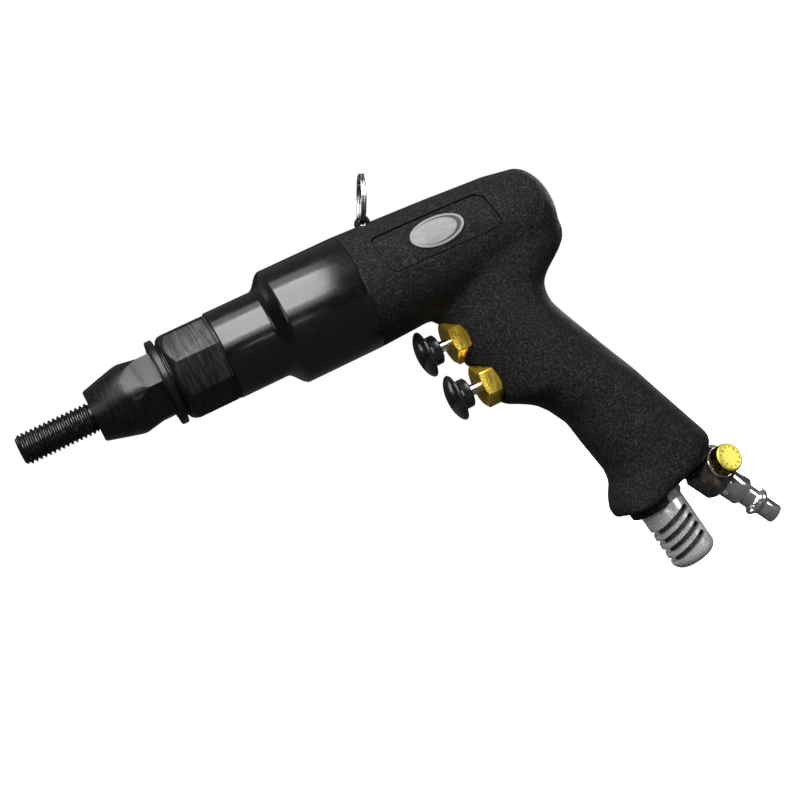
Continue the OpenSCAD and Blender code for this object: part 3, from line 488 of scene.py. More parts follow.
# Outline of the grip, (height, x) from the barrel down
GRIP_FRONT = [(6, 128), (-16, 129.4), (-25.1, 131.9), (-41, 134.5), (-46, 136), (-57, 138),
              (-61.6, 140), (-64.4, 143.4),
              (-67, 149), (-69.5, 153.2), (-73.4, 157), (-81.4, 161.6), (-92, 163.8),
              (-104.2, 166.8), (-109.3, 166.6),
              (-114, 163.8), (-118.8, 161.9), (-123.2, 163)]
GRIP_REAR = [(6, 191), (0, 193.2), (-10.7, 193.6), (-14.2, 192.6), (-18, 189.6), (-25.4, 178.9),
             (-28.5, 176.6),
             (-32.1, 175.9), (-36, 176.1), (-41.9, 178.6), (-73.8, 194.2), (-107.5, 208.9),
             (-110.6, 209.6), (-113, 208.6),
             (-117.7, 203.9), (-119.5, 196), (-121.1, 189), (-123.2, 181)]
GRIP_HALF = [(6, 18.5), (-10, 17.6), (-25, 16), (-60, 15.8), (-82, 15.3), (-104, 16.2),
             (-116, 16.4), (-121, 15.6),
             (-123.2, 14.6)]


def along(outline, height):
    """Value of an outline at a height."""
    for (z0, v0), (z1, v1) in zip(outline, outline[1:]):
        if z1 <= height <= z0:
            return v0 + (v1 - v0) * (z0 - height) / (z0 - z1)
    return outline[0][1] if height > outline[0][0] else outline[-1][1]


def barrel_profile(grow=0.0, front=0.0):
    """Outer profile of the housing's barrel, from its front face to the domed tail."""
    return ([(0, X_HOUSING - front), (23 + grow, X_HOUSING - front), (23 + grow, X_HOUSING),
             (22.45 + grow, X_LUG),
             (21.4 + grow, 147), (19.8 + grow, 173.4)]
            + [((18.2 + grow) * cos(radians(a)), 183.4 + (11 + grow) * sin(radians(a)))
               for a in range(0, 91, 9)])


def side_skin(outer, inner, steps=160):
    """A shell that follows the barrel's side between two offsets from its surface."""
    side = slice(1, 6)
    skin = barrel_profile(outer, 2.0)[side] + barrel_profile(inner, 2.0)[side][::-1]
    return turned("side_skin", skin + skin[:1], along_barrel(0), steps)


def grip_body():
    """The grip, lofted from rounded slices that take their places from the outlines."""
    sides, top, bottom, step = 56, 6.0, -123.2, 1.9
    rings = int(ceil((top - bottom) / step))
    put_down()
    bpy.ops.mesh.primitive_circle_add(vertices=sides, radius=1, fill_type="NGON")
    grip = named("grip")
    bpy.ops.object.mode_set(mode="EDIT")
    bpy.ops.mesh.select_all(action="SELECT")
    for _ in range(rings):
        bpy.ops.mesh.extrude_region_move(TRANSFORM_OT_translate={"value": (0, 0, 1)})
    bpy.ops.object.mode_set(mode="OBJECT")
    for vertex in grip.data.vertices:
        turn = atan2(vertex.co.y, vertex.co.x)
        z = bottom + (top - bottom) * round(vertex.co.z) / rings
        front, rear, half = along(GRIP_FRONT, z), along(GRIP_REAR, z), along(GRIP_HALF, z)
        across = cos(turn)
        pointed = min(1, max(0, (z + 72) / 10)) if across < 0 else 0
        power = 2 / (2.35 - 0.6 * pointed)
        x = (front + rear) / 2 + (rear - front) / 2 * abs(across) ** power * (1
                                                                              if across > 0 else -1)
        lean = 0.05 * (rear - front) * (1 - abs(across) ** 2)
        y = half * abs(sin(turn)) ** power * (1 if sin(turn) > 0 else -1)
        vertex.co = ((x + lean) * MM, y * MM, z * MM)
    return closed(grip)


def panel_outline(name, inset):
    """The side panel's outline as a prism that stands out of the barrel's side."""
    length, height, corner, tilt = 48.0 - 2 * inset, 17.0 - 2 * inset, 3.4 - inset, radians(18)
    put_down()
    bpy.ops.mesh.primitive_cube_add(size=1, location=(0, 0, 15 * MM),
                                    scale=(length * MM, height * MM, 30 * MM))
    outline = settle(named(name))
    picked(outline, lambda centre, normal: False)
    bpy.ops.mesh.select_mode(type="EDGE")
    bpy.ops.object.mode_set(mode="OBJECT")
    points = outline.data.vertices
    for edge in outline.data.edges:
        a, b = (points[i].co for i in edge.vertices)
        edge.select = abs(a.z - b.z) > 1 * MM
    bpy.ops.object.mode_set(mode="EDIT")
    bpy.ops.mesh.bevel(offset=corner * MM, segments=6)
    bpy.ops.object.mode_set(mode="OBJECT")
    # the rear end leans with the tail, and the front end leans a little to the front
    for vertex in outline.data.vertices:
        vertex.co.x -= (0.16 if vertex.co.x > 0 else 0.1) * vertex.co.y
    return settle(outline, Matrix.Translation((142.6 * MM, 0, 0)) @ Matrix.Rotation(pi / 2 - tilt,
                                                                                    4, "X"))


def panel_tools(depth):
    """Cutters for the shallow side panel and for the groove along its rim."""
    recess = carve(panel_outline("panel_recess", 0.0), side_skin(2.0, -depth), "INTERSECT")
    groove = carve(panel_outline("panel_groove", 0.0), panel_outline("panel_field", 0.55))
    carve(groove, side_skin(2.1, -depth - 0.55), "INTERSECT")
    return [recess, groove]


# Room for the hanging ring to swing across the barrel
RING_CHANNEL_R = 2.7


def motor_housing(sizes):
    """Barrel, tail and grip as one moulding, with its bores, spot faces, panel and lip."""
    body = turned("motor_housing_shell", barrel_profile(0.0, 3.0), along_barrel(0), 96)
    lip = rod("lip", 12.45, -6, 4.6, MUFFLER)
    carve(lip, block("front_half", (40, 40, 40), (20, 0, 0), MUFFLER))
    carve(body, grip_body(), "UNION")
    carve(body, lip, "UNION")
    modify(body, "REMESH", mode="VOXEL", voxel_size=sizes.skin_detail)
    crease = body.vertex_groups.new(name="crease")
    for vertex in body.data.vertices:
        x, y, z = (c / MM for c in vertex.co)
        out = sqrt(y * y + z * z)
        if 126 < x < 190 and z < -4 and out < 25.5:
            crease.add([vertex.index], 1.0, "REPLACE")
    modify(body, "SMOOTH", factor=0.5, iterations=36, vertex_group="crease")
    modify(body, "SMOOTH", factor=0.5, iterations=3)
    cutters = [
        block("front", (20, 80, 80), (X_HOUSING - 10, 0, 0), Matrix.Identity(4)),
        turned("motor_bore", [(0, X_HOUSING - 1), (21.35, X_HOUSING - 1), (21.35, X_HOUSING + 6.05),
                              (17.55, X_HOUSING + 6.05),
                              (17.55, X_MOTOR_END + 0.05), (10, X_MOTOR_END + 0.05),
                              (10, X_MOTOR_END + 12),
                              (0, X_MOTOR_END + 12)], along_barrel(0)),
        *panel_tools(sizes.panel_depth / MM),
        rod("inlet_socket", 7.03, -8.05, 12, INLET),
        rod("muffler_socket", 7.03, -9.05, 1, MUFFLER),
        rod("muffler_recess", 11.2, 0, 20, MUFFLER),
        block("heel", (40, 60, 10), (201.2, 0, -126.4), Matrix.Identity(4)),
        block("lug_slot", (6.0, 4.4, 9), (X_LUG, 0, 25), Matrix.Identity(4)),
        rod("ring_channel", RING_CHANNEL_R, -9, 9,
            Matrix.Translation((X_LUG * MM, 0, JOINTS["ring_swing"]["pos_m"][2]))
            @ Matrix.Rotation(pi / 2, 4, "X")),
    ]
    for x, z in VALVES.values():
        cutters.append(turned("valve_bore", [(0, -22), (9.5, -22), (9.5, 0.01), (5.53, 0.01),
                                             (5.53, 7.53), (4.8, 7.53),
                                             (4.8, 21.7), (0, 21.7)], along_barrel(x, z)))
    for cutter in cutters:
        carve(body, cutter)
    return finish(body, "textured_housing", "root", ["motor_housing"], angle=40)


# ---------------------------------------------------------------- gear case and nose

def gear_case():
    """Gloss black gear housing: two diameters with a long soft shoulder."""
    small, big, shoulder, length = 17.4, 23.0, 71.0, 7.0
    x0 = X_CASE
    outer = [(15.55, x0), (small - 0.5, x0), (small - 0.15, x0 + 0.15), (small, x0 + 0.5)]
    steps = 22
    outer += [(small + (big - small) / 2 * (1 - cos(pi * i / steps)),
               shoulder + length * i / steps) for i in range(steps + 1)]
    outer += [(big, X_HOUSING - 0.6), (big - 0.15, X_HOUSING - 0.2), (big - 0.5, X_HOUSING)]
    outer += [(21.3, X_HOUSING), (21.3, X_HOUSING + 6), (20, X_HOUSING + 6), (20, 79.5), (13, 79.5),
              (13, 73.1), (15.55, 73.1),
              (15.55, x0)]
    case = turned("gear_case", outer, along_barrel(0), 160)
    return finish(case, "gloss_black_case", "root", ["gear_housing"], angle=28)


def adapter():
    """Octagonal adapter with a chamfered front, its machined bands and its spigot."""
    flats, length, corner = 33.0, X_CASE - X_ADAPTER, 1.25
    facet_turn = radians(22.5 + 9.5)
    piece = prism("nose_adapter_body", 8, flats, 0, length, along_barrel(X_ADAPTER), facet_turn)
    limit = turned("limit", [(0, 0), (flats / 2 - 0.9, 0), (flats / 2 + corner, 2.8),
                             (flats / 2 + corner, length), (0, length)],
                   along_barrel(X_ADAPTER), 128)
    carve(piece, limit, "INTERSECT")
    softened(piece, 0.22, 2, 25)
    groove = turned("groove", [(flats / 2 - 0.35, length - 1.5), (flats / 2 + 3, length - 1.5),
                               (flats / 2 + 3, length - 1.1),
                               (flats / 2 - 0.35, length - 1.1), (flats / 2 - 0.35, length - 1.5)],
                    along_barrel(X_ADAPTER), 128)
    carve(piece, groove)
    carve(piece, rod("spigot", 15.5, length - 0.5, length + 6, along_barrel(X_ADAPTER)), "UNION")
    carve(piece, rod("thread_bore", 15.02, -1, 11, along_barrel(X_ADAPTER)))
    carve(piece, rod("sleeve_bore", 10.8, 5, length + 8, along_barrel(X_ADAPTER)))
    return finish(piece, "machined_dark_steel", "root", ["nose_adapter"], angle=25)


def nose():
    """Nosepiece with six milled flats that run out to the front, and its thread."""
    rear, big = X_RING, 13.8
    pitch, thread, end = 1.5, 15.0, X_RING + 14
    outer = [(6.3, 0), (9.4, 0), (9.9, 0.2), (10.2, 0.8), (12.2, 8.2), (13.35, 12.6), (13.62, 14.0),
             (big, 15.6), (big, rear)]
    x = rear
    while x + pitch < end:
        outer += [(thread - 0.75, x + 0.05), (thread - 0.75, x + 0.35), (thread, x + 0.8),
                  (thread, x + 1.05)]
        x += pitch
    outer += [(thread - 0.75, end), (11.1, end), (11.1, end - 5), (6.3, end - 8), (6.3, 0)]
    piece = turned("nosepiece_body", outer, along_barrel(0), 128)
    depth, start, full = 12.0, 13.6, 22.4
    for i in range(6):
        put_down()
        bpy.ops.mesh.primitive_cube_add(size=1, location=((start + rear - 0.4) / 2 * MM, 0,
                                                          (depth + 6) * MM),
                                        scale=((rear - 0.4 - start) * MM, 40 * MM, 12 * MM))
        cutter = settle(named("flat"))
        take(cutter)
        bpy.ops.object.mode_set(mode="EDIT")
        bpy.ops.mesh.select_all(action="SELECT")
        bpy.ops.mesh.bisect(plane_co=(full * MM, 0, 0), plane_no=(1, 0, 0))
        bpy.ops.object.mode_set(mode="OBJECT")
        for vertex in cutter.data.vertices:
            if vertex.co.x < (start + 0.1) * MM and vertex.co.z < (depth + 1) * MM:
                vertex.co.z += 1.95 * MM
        settle(cutter, Matrix.Rotation(i * pi / 3, 4, "X"))
        carve(piece, cutter)
    return finish(piece, "blackened_steel", "root", ["nosepiece"], angle=20)


def lock_ring():
    """Knife-edged lock ring on the nose thread."""
    r = 16.8
    outer = [(15.02, 0), (r - 0.5, 0), (r - 0.15, 0.15), (r, 0.5), (r, 2.3), (r - 0.15, 2.65),
             (r - 0.5, 2.8), (15.02, 2.8),
             (15.02, 0)]
    ring = turned("lock_ring_body", outer, along_barrel(X_RING), 128)
    return finish(ring, "blackened_steel", "root", ["lock_ring"], angle=30)


def mandrel(sizes):
    """Threaded mandrel: a bar turned in fine rows, whose thread length is then cut to a helix."""
    pitch, crest, out = sizes.thread_pitch / MM, 6.0, 29.0
    root = crest - 0.55 * pitch
    rows_per_turn, end = 12, -0.6
    start = X_RING + 6.6
    rows = int((out + end) / pitch * rows_per_turn)
    thread = [(crest, -out + (out + end) * i / rows) for i in range(rows + 1)]
    shank = [(root, -0.2), (root, 0.4), (6.2, 1.4), (6.2, start), (6.5, start + 0.5), (6.5, X_CASE),
             (0, X_CASE)]
    piece = turned("mandrel_body", [(0, -out)] + thread + shank, along_barrel(0), 56)
    for vertex in piece.data.vertices:
        x, y, z = (c / MM for c in vertex.co)
        r = sqrt(y * y + z * z)
        if r < 1 or x > end + 0.1:
            continue
        phase = (x / pitch + atan2(z, y) / (2 * pi)) % 1.0
        rise = min(max((abs(phase - 0.5) - 0.07) / 0.33, 0.0), 1.0)
        r_new = crest - (crest - root) * rise
        r_new = min(r_new, root - 0.3 + 0.75 * (x + out), root + 1.3 * max(end + 0.5 - x, 0.0)
                    + 0.1)
        vertex.co.y *= r_new / r
        vertex.co.z *= r_new / r
    return finish(piece, "mandrel_steel", "output", ["mandrel"], angle=35)


# ---------------------------------------------------------------- valves

def valve_nut(name, x, z):
    """Chamfered hex nut with its shank and bore."""
    place = along_barrel(x, z)
    nut = prism(name + "_valve_nut_body", 6, 16, -NUT_FRONT, 0, place, pi / 2)
    limit = turned("limit", [(0, -NUT_FRONT), (7.7, -NUT_FRONT), (9.4, -NUT_FRONT + 0.95),
                             (9.4, -0.95), (7.7, 0), (0, 0)], place)
    carve(nut, limit, "INTERSECT")
    softened(nut, 0.16, 2, 20)
    carve(nut, rod("shank", 5.5, -0.5, 7.5, place), "UNION")
    carve(nut, rod("bore", 2.3, -9, 9, place, 48))
    return finish(nut, "valve_brass", "root", [name + "_valve_nut"], angle=25)


def push_cap(name, x, z, sizes):
    """Mushroom cap and hub of a push button."""
    hub, rim, hub_end = 5.9, sizes.cap_diameter / MM / 2, -11.2
    back = hub_end - 4.7
    outer = [(0, back - 4.2)]
    outer += [(rim * sin(radians(a)) / sin(radians(78)),
               back - 1.2 - 3.0 * (cos(radians(a)) - cos(radians(78))) / (1 - cos(radians(78))))
              for a in range(6, 79, 6)]
    outer += [(rim, back - 1.0), (rim - 0.04, back - 0.6), (rim - 0.3, back - 0.35),
              (hub + 1.0, back + 0.35), (hub + 0.25, back + 0.7),
              (hub, back + 1.3), (hub, hub_end - 0.8), (hub - 0.2, hub_end - 0.45),
              (hub - 0.9, hub_end), (2.2, hub_end),
              (2.2, back), (0, back)]
    cap = turned(name + "_button_cap", outer, along_barrel(x, z), 112)
    return finish(cap, "black_cap_plastic", name + "_push", [name + "_button"], angle=28)


def valve_stem(name, x, z):
    """Polished stem with its poppet."""
    outer = [(0, -15.9), (2.2, -15.9), (2.2, 7.8), (3.9, 7.8), (4.2, 8.1), (4.2, 11.5), (3.9, 11.8),
             (0, 11.8)]
    stem = turned(name + "_stem_rod", outer, along_barrel(x, z), 64)
    return finish(stem, "polished_stem", name + "_push", [name + "_stem"], angle=30)


# ---------------------------------------------------------------- inlet

def inlet_block():
    """Hexagonal inlet body with rounded shoulders and its three bores."""
    z0, z1 = 1.5, 14.0
    body = prism("inlet_block", 6, INLET_FLATS, z0, z1, INLET, pi / 3 - KNOB_TURN)
    limit = turned("limit", [(0, z0), (8.2, z0), (9.6, z0 + 1.3), (9.6, z1 - 1.3), (8.2, z1),
                             (0, z1)], INLET)
    carve(body, limit, "INTERSECT")
    softened(body, 0.35, 3, 20)
    carve(body, rod("air_bore", 3.0, -1, 15, INLET, 48))
    carve(body, rod("plug_bore", 4.5, 10.0, 15, INLET, 48))
    carve(body, rod("needle_bore", 1.65, 0, 12, REGULATOR, 32))
    return finish(body, "inlet_bronze", "root", ["inlet_body"], angle=25)


def bushing():
    """Threaded bushing under the inlet body."""
    outer = [(3.0, -8), (7.0, -8), (7.0, 0), (8.0, 0), (8.3, 0.3), (8.3, 1.2), (8.0, 1.5),
             (3.0, 1.5), (3.0, -8)]
    piece = turned("inlet_bushing_ring", outer, INLET)
    return finish(piece, "blackened_steel", "root", ["inlet_bushing"], angle=25)


def plug():
    """Quick-connect plug, turned and bored."""
    z = 14.0
    outer = [(2.5, z - 4), (4.5, z - 4), (4.5, z), (5.4, z), (5.75, z + 0.15), (5.9, z + 0.5),
             (5.9, z + 8.3), (5.7, z + 8.8),
             (4.55, z + 9.7), (4.35, z + 10.1), (4.35, z + 13.7), (4.6, z + 14.2), (5.6, z + 15.1),
             (5.9, z + 15.3), (6.0, z + 15.7),
             (5.95, z + 16.3), (4.1, z + 18.3), (3.9, z + 18.7), (3.9, z + 24.9), (3.75, z + 25.3),
             (3.3, z + 25.5), (2.8, z + 25.5),
             (2.5, z + 25.2), (2.5, z - 4)]
    piece = turned("air_plug_nipple", outer, INLET)
    return finish(piece, "plated_steel", "root", ["air_plug"], angle=24)


def collar():
    """Bright washer behind the regulator knob."""
    z = INLET_FLATS / 2
    outer = [(1.65, z), (6.1, z), (6.3, z + 0.2), (6.3, z + 1.0), (6.1, z + 1.2), (1.65, z + 1.2),
             (1.65, z)]
    piece = turned("regulator_washer", outer, REGULATOR)
    return finish(piece, "plated_steel", "root", ["regulator_collar"], angle=25)


def knob(sizes):
    """Knurled regulator knob with a dished face and plain division marks. Its knurled side takes
    knob_side, a darker copy of the brass that paints the side's shade, and the floors of the marks
    take the same dark finish.
    """
    z0, length, r, teeth = INLET_FLATS / 2 + 1.3, 6.0, 6.0, 36
    put_down()
    bpy.ops.mesh.primitive_cylinder_add(vertices=4 * teeth, radius=r * MM,
                                        depth=(length - 1.0) * MM,
                                        location=(0, 0, (z0 + (length - 1.0) / 2) * MM))
    piece = named("regulator_knob_body")
    settle(piece)
    for i, vertex in enumerate(piece.data.vertices):
        turn = atan2(vertex.co.y, vertex.co.x) * teeth
        scale = 1 - 0.05 * (0.5 - 0.5 * cos(turn)) ** 0.7
        vertex.co.x *= scale
        vertex.co.y *= scale
    top = z0 + length
    face = turned("face", [(0, top - 1.2), (r - 0.3, top - 1.2), (r - 0.25, top - 1.0),
                           (r - 0.3, top - 0.5), (r - 0.7, top - 0.1),
                           (r - 1.0, top), (r - 1.3, top - 0.06), (0, top - 0.12)],
                  Matrix.Identity(4), 96)
    carve(piece, face, "UNION")
    for i in range(sizes.knob_marks):
        tick = block("tick", (1.5 if i % 3 == 0 else 0.9, 0.42, 0.6),
                     (r - 1.9 - (0.25 if i % 3 == 0 else 0), 0, top - 0.02),
                     Matrix.Rotation(i * 2 * pi / sizes.knob_marks, 4, "Z"))
        carve(piece, tick)
    carve(piece, rod("needle_hole", 1.6, z0 - 1, top - 2.1, Matrix.Identity(4), 32))
    settle(piece, REGULATOR)
    finish(piece, "knob_brass", "regulator", ["regulator_knob"], angle=25)
    # Second slot: knob_side, the darker copy of the brass, paints shade on the knurled side below
    # the face; the floors of the division marks take it too
    piece.data.materials.append(finish_of("knob_side"))
    axis = REGULATOR.to_3x3() @ Vector((0, 0, 1))
    origin = REGULATOR.translation
    for side in piece.data.polygons:
        height = (side.center - origin).dot(axis) / MM
        in_a_mark = side.normal.dot(axis) > 0.9 and height < top - 0.2
        side.material_index = 0 if height > top - 0.7 and not in_a_mark else 1
    return piece


# ---------------------------------------------------------------- muffler

def muffler(sizes):
    """Cast muffler with tilted slots, round its sintered core."""
    flats, wall, r, z0 = 19.0, 2.2, 9.4, 4.6
    length = 26.0
    outer = [(0, 0), (r - 0.7, 0), (r - 0.2, 0.2), (r, 0.7)] + arc(r - 4, length - 4, 4, 0, 90,
                                                                   12) + [(0, length)]
    shell = turned("muffler_shell", outer, MUFFLER @ Matrix.Translation((0, 0, z0 * MM)), 96)
    place = MUFFLER @ Matrix.Translation((0, 0, z0 * MM))
    carve(shell, rod("hollow", r - wall, wall, length - wall, place))
    carve(shell, rod("neck", 5.0, -1, wall + 1, place))
    for i in range(sizes.muffler_slots):
        lean = place @ Matrix.Translation((0, 0,
                                           (6.4 + i * 4.05) * MM)) @ Matrix.Rotation(radians(14), 4,
                                                                                     "Y")
        slot = block("slot", (2 * r + 1, 2 * r + 4, 2.5), (-3.5, 0, 0), lean)
        softened(slot, 0.7, 4, 60)
        carve(shell, slot)
    softened(shell, 0.28, 2, 50)
    finish(shell, "cast_muffler", "root", ["muffler_body"], angle=38)
    nut = prism("muffler_hex", 6, flats, 0, z0, MUFFLER, pi / 6)
    limit = turned("limit", [(0, 0), (11.2, 0), (11.2, z0 - 0.7), (9.8, z0), (0, z0)], MUFFLER)
    carve(nut, limit, "INTERSECT")
    softened(nut, 0.2, 2, 25)
    carve(nut, rod("thread", 7.0, -9, 0.5, MUFFLER), "UNION")
    carve(nut, rod("bore", 5.0, -10, 6, MUFFLER))
    finish(nut, "zinc_nut", "root", ["muffler_nut"], angle=25)
    core_r = r - wall - 0.4
    core = turned("muffler_core_tube", [(core_r - 2, wall), (core_r, wall), (core_r, length - wall),
                                        (core_r - 2, length - wall),
                                        (core_r - 2, wall)], place)
    return finish(core, "sintered_core", "root", ["muffler_core"], angle=25)


# ---------------------------------------------------------------- hanging ring and badge

def hanging_ring(sizes):
    """Split ring of two turns that cross over once."""
    wire, r, gap, lean = sizes.ring_wire / MM / 2, 9.3, 0.47 * sizes.ring_wire / MM, radians(25)
    ring_twist, steps = radians(-3), 150
    curve = bpy.data.curves.new("hanging_ring_wire", "CURVE")
    curve.dimensions = "3D"
    line = curve.splines.new("POLY")
    line.points.add(steps)
    start, end = radians(100), radians(100 + 720 - 34)
    for i, point in enumerate(line.points):
        a = start + (end - start) * i / steps
        t = min(max(((a - start) / (2 * pi) - 0.9) / 0.2, 0), 1)
        side = gap * (2 * (t * t * (3 - 2 * t)) - 1)
        point.co = (r * cos(a) * MM, r * sin(a) * MM, side * MM, 1)
    curve.bevel_depth = wire * MM
    curve.bevel_resolution = 4
    curve.use_fill_caps = True
    piece = bpy.data.objects.new("split_ring", curve)
    bpy.context.scene.collection.objects.link(piece)
    take(piece)
    bpy.ops.object.convert(target="MESH")
    piece = bpy.context.object
    z_lug = JOINTS["ring_swing"]["pos_m"][2]
    place = (Matrix.Translation((X_LUG * MM, 0, z_lug)) @ Matrix.Rotation(lean, 4, "Y")
             @ Matrix.Rotation(ring_twist, 4, "Z") @ Matrix.Translation((0, 0, r * MM))
             @ Matrix.Rotation(pi / 2, 4, "Y"))
    settle(piece, place)
    closed(piece)
    return finish(piece, "ring_chrome", "ring", ["hanging_ring"], angle=60)


def oval(name, half_len, half_h, shift, inner, outer, steps=96):
    """An oval plate on the barrel's side, between two skins of the barrel."""
    put_down()
    bpy.ops.mesh.primitive_cylinder_add(vertices=steps, radius=1, depth=30 * MM,
                                        location=(0, 0, 15 * MM),
                                        scale=(half_len * MM, half_h * MM, 1))
    plate = named(name)
    settle(plate, Matrix.Translation(((BADGE_X + shift) * MM, 0, 0))
           @ Matrix.Rotation(pi / 2 - radians(18), 4, "X"))
    return carve(plate, side_skin(outer, inner), "INTERSECT")


def badge(sizes):
    """Plain oval badge: satin field, with a black line that swells to the rear."""
    half_len, half_h = sizes.badge_length / MM / 2, sizes.badge_height / MM / 2
    plate = oval("badge_plate", half_len, half_h, 0, -1.2, 0.12)
    finish(plate, "badge_silver", "root", ["name_badge"], angle=30)
    line = oval("badge_line", half_len - 1.2, half_h - 0.9, 0.1, -0.2, 0.2)
    carve(line, oval("field", half_len - 2.1, half_h - 1.25, -0.85, -0.5, 0.6))
    return finish(line, "badge_line", "root", [], angle=30)


# ---------------------------------------------------------------- stage

# Camera: place in metres; yaw, pitch and roll in degrees; lens in millimetres
CAMERA_PLACE = (0.0031, -0.5176, -0.0420)
CAMERA_TURN = (11.2, 1.26, 25)
CAMERA_LENS = 62.1

# Floor: its glow in view, and its lightness where a surface reflects it
FLOOR_GLOW = 0.9
FLOOR_TONE_REFLECTED = 0.05
CEILING_STRENGTH = 0.3

# Soft lights: place and size in metres, and power as a share of the key light
LIGHT_AIM = (0.085, 0, -0.01)
LAMPS = [
    ("main_softbox", (0.07, -0.468, 0.452), (0.55, 0.60), 1.0),
    ("upper_softbox", (0.07, -0.157, 0.63), (0.50, 0.28), 0.1),
    ("lower_softbox", (0.07, -0.62, 0.19), (0.50, 0.17), 0.07),
    ("front_strip", (0.08, -0.75, -0.10), (0.30, 0.014), 0.014),
    ("rear_softbox", (0.85, 0.60, 0.20), (0.4, 0.5), 0.2),
    ("back_softbox", (-0.15, 0.80, 0.34), (0.7, 0.5), 0.9),
    ("back_strip", (-0.62, 0.50, 0.30), (0.3, 0.4), 0.1),
    ("tail_softbox", (0.80, -0.45, 0.05), (0.25, 0.5), 0.22),
    ("nose_softbox", (-0.45, -0.45, 0.20), (0.2, 0.35), 0.06),
]
# Lights that soften the shadows without a highlight of their own
UNREFLECTED = {"back_softbox"}


def studio(look):
    """Camera, pale floor and soft lights."""
    scene = bpy.context.scene
    scene.view_settings.view_transform = "Standard"
    yaw, pitch, roll = (radians(angle) for angle in CAMERA_TURN)
    side = Vector((cos(yaw) * cos(pitch), -sin(yaw), -cos(yaw) * sin(pitch)))
    forward = Vector((sin(yaw) * cos(pitch), cos(yaw), -sin(yaw) * sin(pitch)))
    rise = Vector((sin(pitch), 0, cos(pitch)))
    right = side * cos(roll) - rise * sin(roll)
    up = side * sin(roll) + rise * cos(roll)
    put_down()
    bpy.ops.object.camera_add(location=CAMERA_PLACE)
    camera = bpy.context.object
    camera.name = "studio_camera"
    turn = Matrix((right, up, -forward)).transposed().to_4x4()
    camera.matrix_world = Matrix.Translation(camera.location) @ turn
    camera.data.lens = CAMERA_LENS
    camera.data.sensor_width = 36
    camera.data.clip_start = 0.01
    scene.camera = camera

    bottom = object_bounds()[0][2]
    put_down()
    bpy.ops.mesh.primitive_plane_add(size=6, location=(0.1, 0, bottom - 0.0005))
    floor = named("studio_floor")
    material = bpy.data.materials.new("studio_floor_paper")
    material.use_nodes = True
    shader = material.node_tree.nodes["Principled BSDF"]
    shader.inputs["Roughness"].default_value = 0.9
    shader.inputs["Specular IOR Level"].default_value = 0.1
    shader.inputs["Emission Color"].default_value = (1, 1, 1, 1)
    sight = add(material.node_tree, "ShaderNodeLightPath")
    glow = add(material.node_tree, "ShaderNodeMath", {0: sight.outputs["Is Camera Ray"]},
               {1: FLOOR_GLOW}, operation="MULTIPLY")
    material.node_tree.links.new(glow.outputs[0], shader.inputs["Emission Strength"])
    tone = add(material.node_tree, "ShaderNodeMapRange", {"Value": sight.outputs["Is Camera Ray"]},
               {"To Min": FLOOR_TONE_REFLECTED, "To Max": look.floor_tone})
    material.node_tree.links.new(tone.outputs["Result"], shader.inputs["Base Color"])
    floor.data.materials.append(material)
    floor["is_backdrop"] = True

    world = bpy.data.worlds.new("studio_white")
    scene.world = world
    world.use_nodes = True
    tree = world.node_tree
    tree.nodes.clear()
    seen = add(tree, "ShaderNodeBackground", values={"Color": (1, 1, 1, 1), "Strength": 1.0})
    room = add(tree, "ShaderNodeBackground", values={"Color": (1, 1, 1, 1),
                                                     "Strength": look.room_fill})
    path = add(tree, "ShaderNodeLightPath")
    mix = add(tree, "ShaderNodeMixShader", {0: path.outputs["Is Camera Ray"], 1: room.outputs[0],
                                            2: seen.outputs[0]})
    add(tree, "ShaderNodeOutputWorld", {"Surface": mix.outputs[0]})

    put_down()
    bpy.ops.object.light_add(type="SUN", location=(0, 0, 1))
    ceiling = bpy.context.object
    ceiling.name = "ceiling_light"
    ceiling.data.energy = CEILING_STRENGTH
    ceiling.data.angle = radians(120)

    aim = Vector(LIGHT_AIM)
    for name, place, size, share in LAMPS:
        put_down()
        bpy.ops.object.light_add(type="AREA", location=place)
        lamp = bpy.context.object
        lamp.name = name
        lamp.data.shape = "RECTANGLE"
        lamp.data.size, lamp.data.size_y = size
        lamp.data.energy = look.key_power * share
        lamp.visible_glossy = name not in UNREFLECTED
        toward = (aim - Vector(place)).normalized()
        lamp.rotation_euler = toward.to_track_quat("-Z", "Y").to_euler()


def coat_inner_parts():
    """Gives the CAD parts that stay the finish of their slots; returns how many it gave."""
    count = 0
    for part in frame["nodes"].values():
        for slot in part.material_slots:
            if slot.material and slot.material.name in SURFACES:
                slot.material = finish_of(slot.material.name)
                count += 1
    return count


# ---------------------------------------------------------------- user settings

def size_setting(name, text, value, **limits):
    """A length that the user can change; the value is in millimetres."""
    return bpy.props.FloatProperty(name=name, description=text, default=value * MM, unit="LENGTH",
                                   precision=4, **limits)


def colour_setting(name, text, value):
    """A linear colour that the user can change."""
    return bpy.props.FloatVectorProperty(name=name, description=text, default=value,
                                         subtype="COLOR", size=3, min=0, max=1)


class RIVETGUN_PG_sizes(bpy.types.PropertyGroup):
    skin_detail: size_setting("Skin detail",
                              "Spacing of the housing's skin before its bores are cut", 0.8,
                              min=0.0005)
    panel_depth: size_setting("Panel depth", "Depth of the shallow side panel", 0.5, min=0.0002)
    thread_pitch: size_setting("Thread pitch", "Pitch of the mandrel's thread", 1.75, min=0.0005)
    cap_diameter: size_setting("Cap diameter", "Diameter of the push caps",
                               high("forward_button")[2] - low("forward_button")[2])
    ring_wire: size_setting("Ring wire", "Diameter of the hanging ring's wire", 1.15)
    badge_length: size_setting("Badge length", "Length of the oval badge",
                               high("name_badge")[0] - low("name_badge")[0])
    badge_height: size_setting("Badge height", "Height of the oval badge", 12.0)
    knob_marks: bpy.props.IntProperty(name="Knob marks",
                                      description="Division marks on the regulator knob",
                                      default=12, min=3)
    muffler_slots: bpy.props.IntProperty(name="Muffler slots", description="Slots in the muffler",
                                         default=4, min=1)


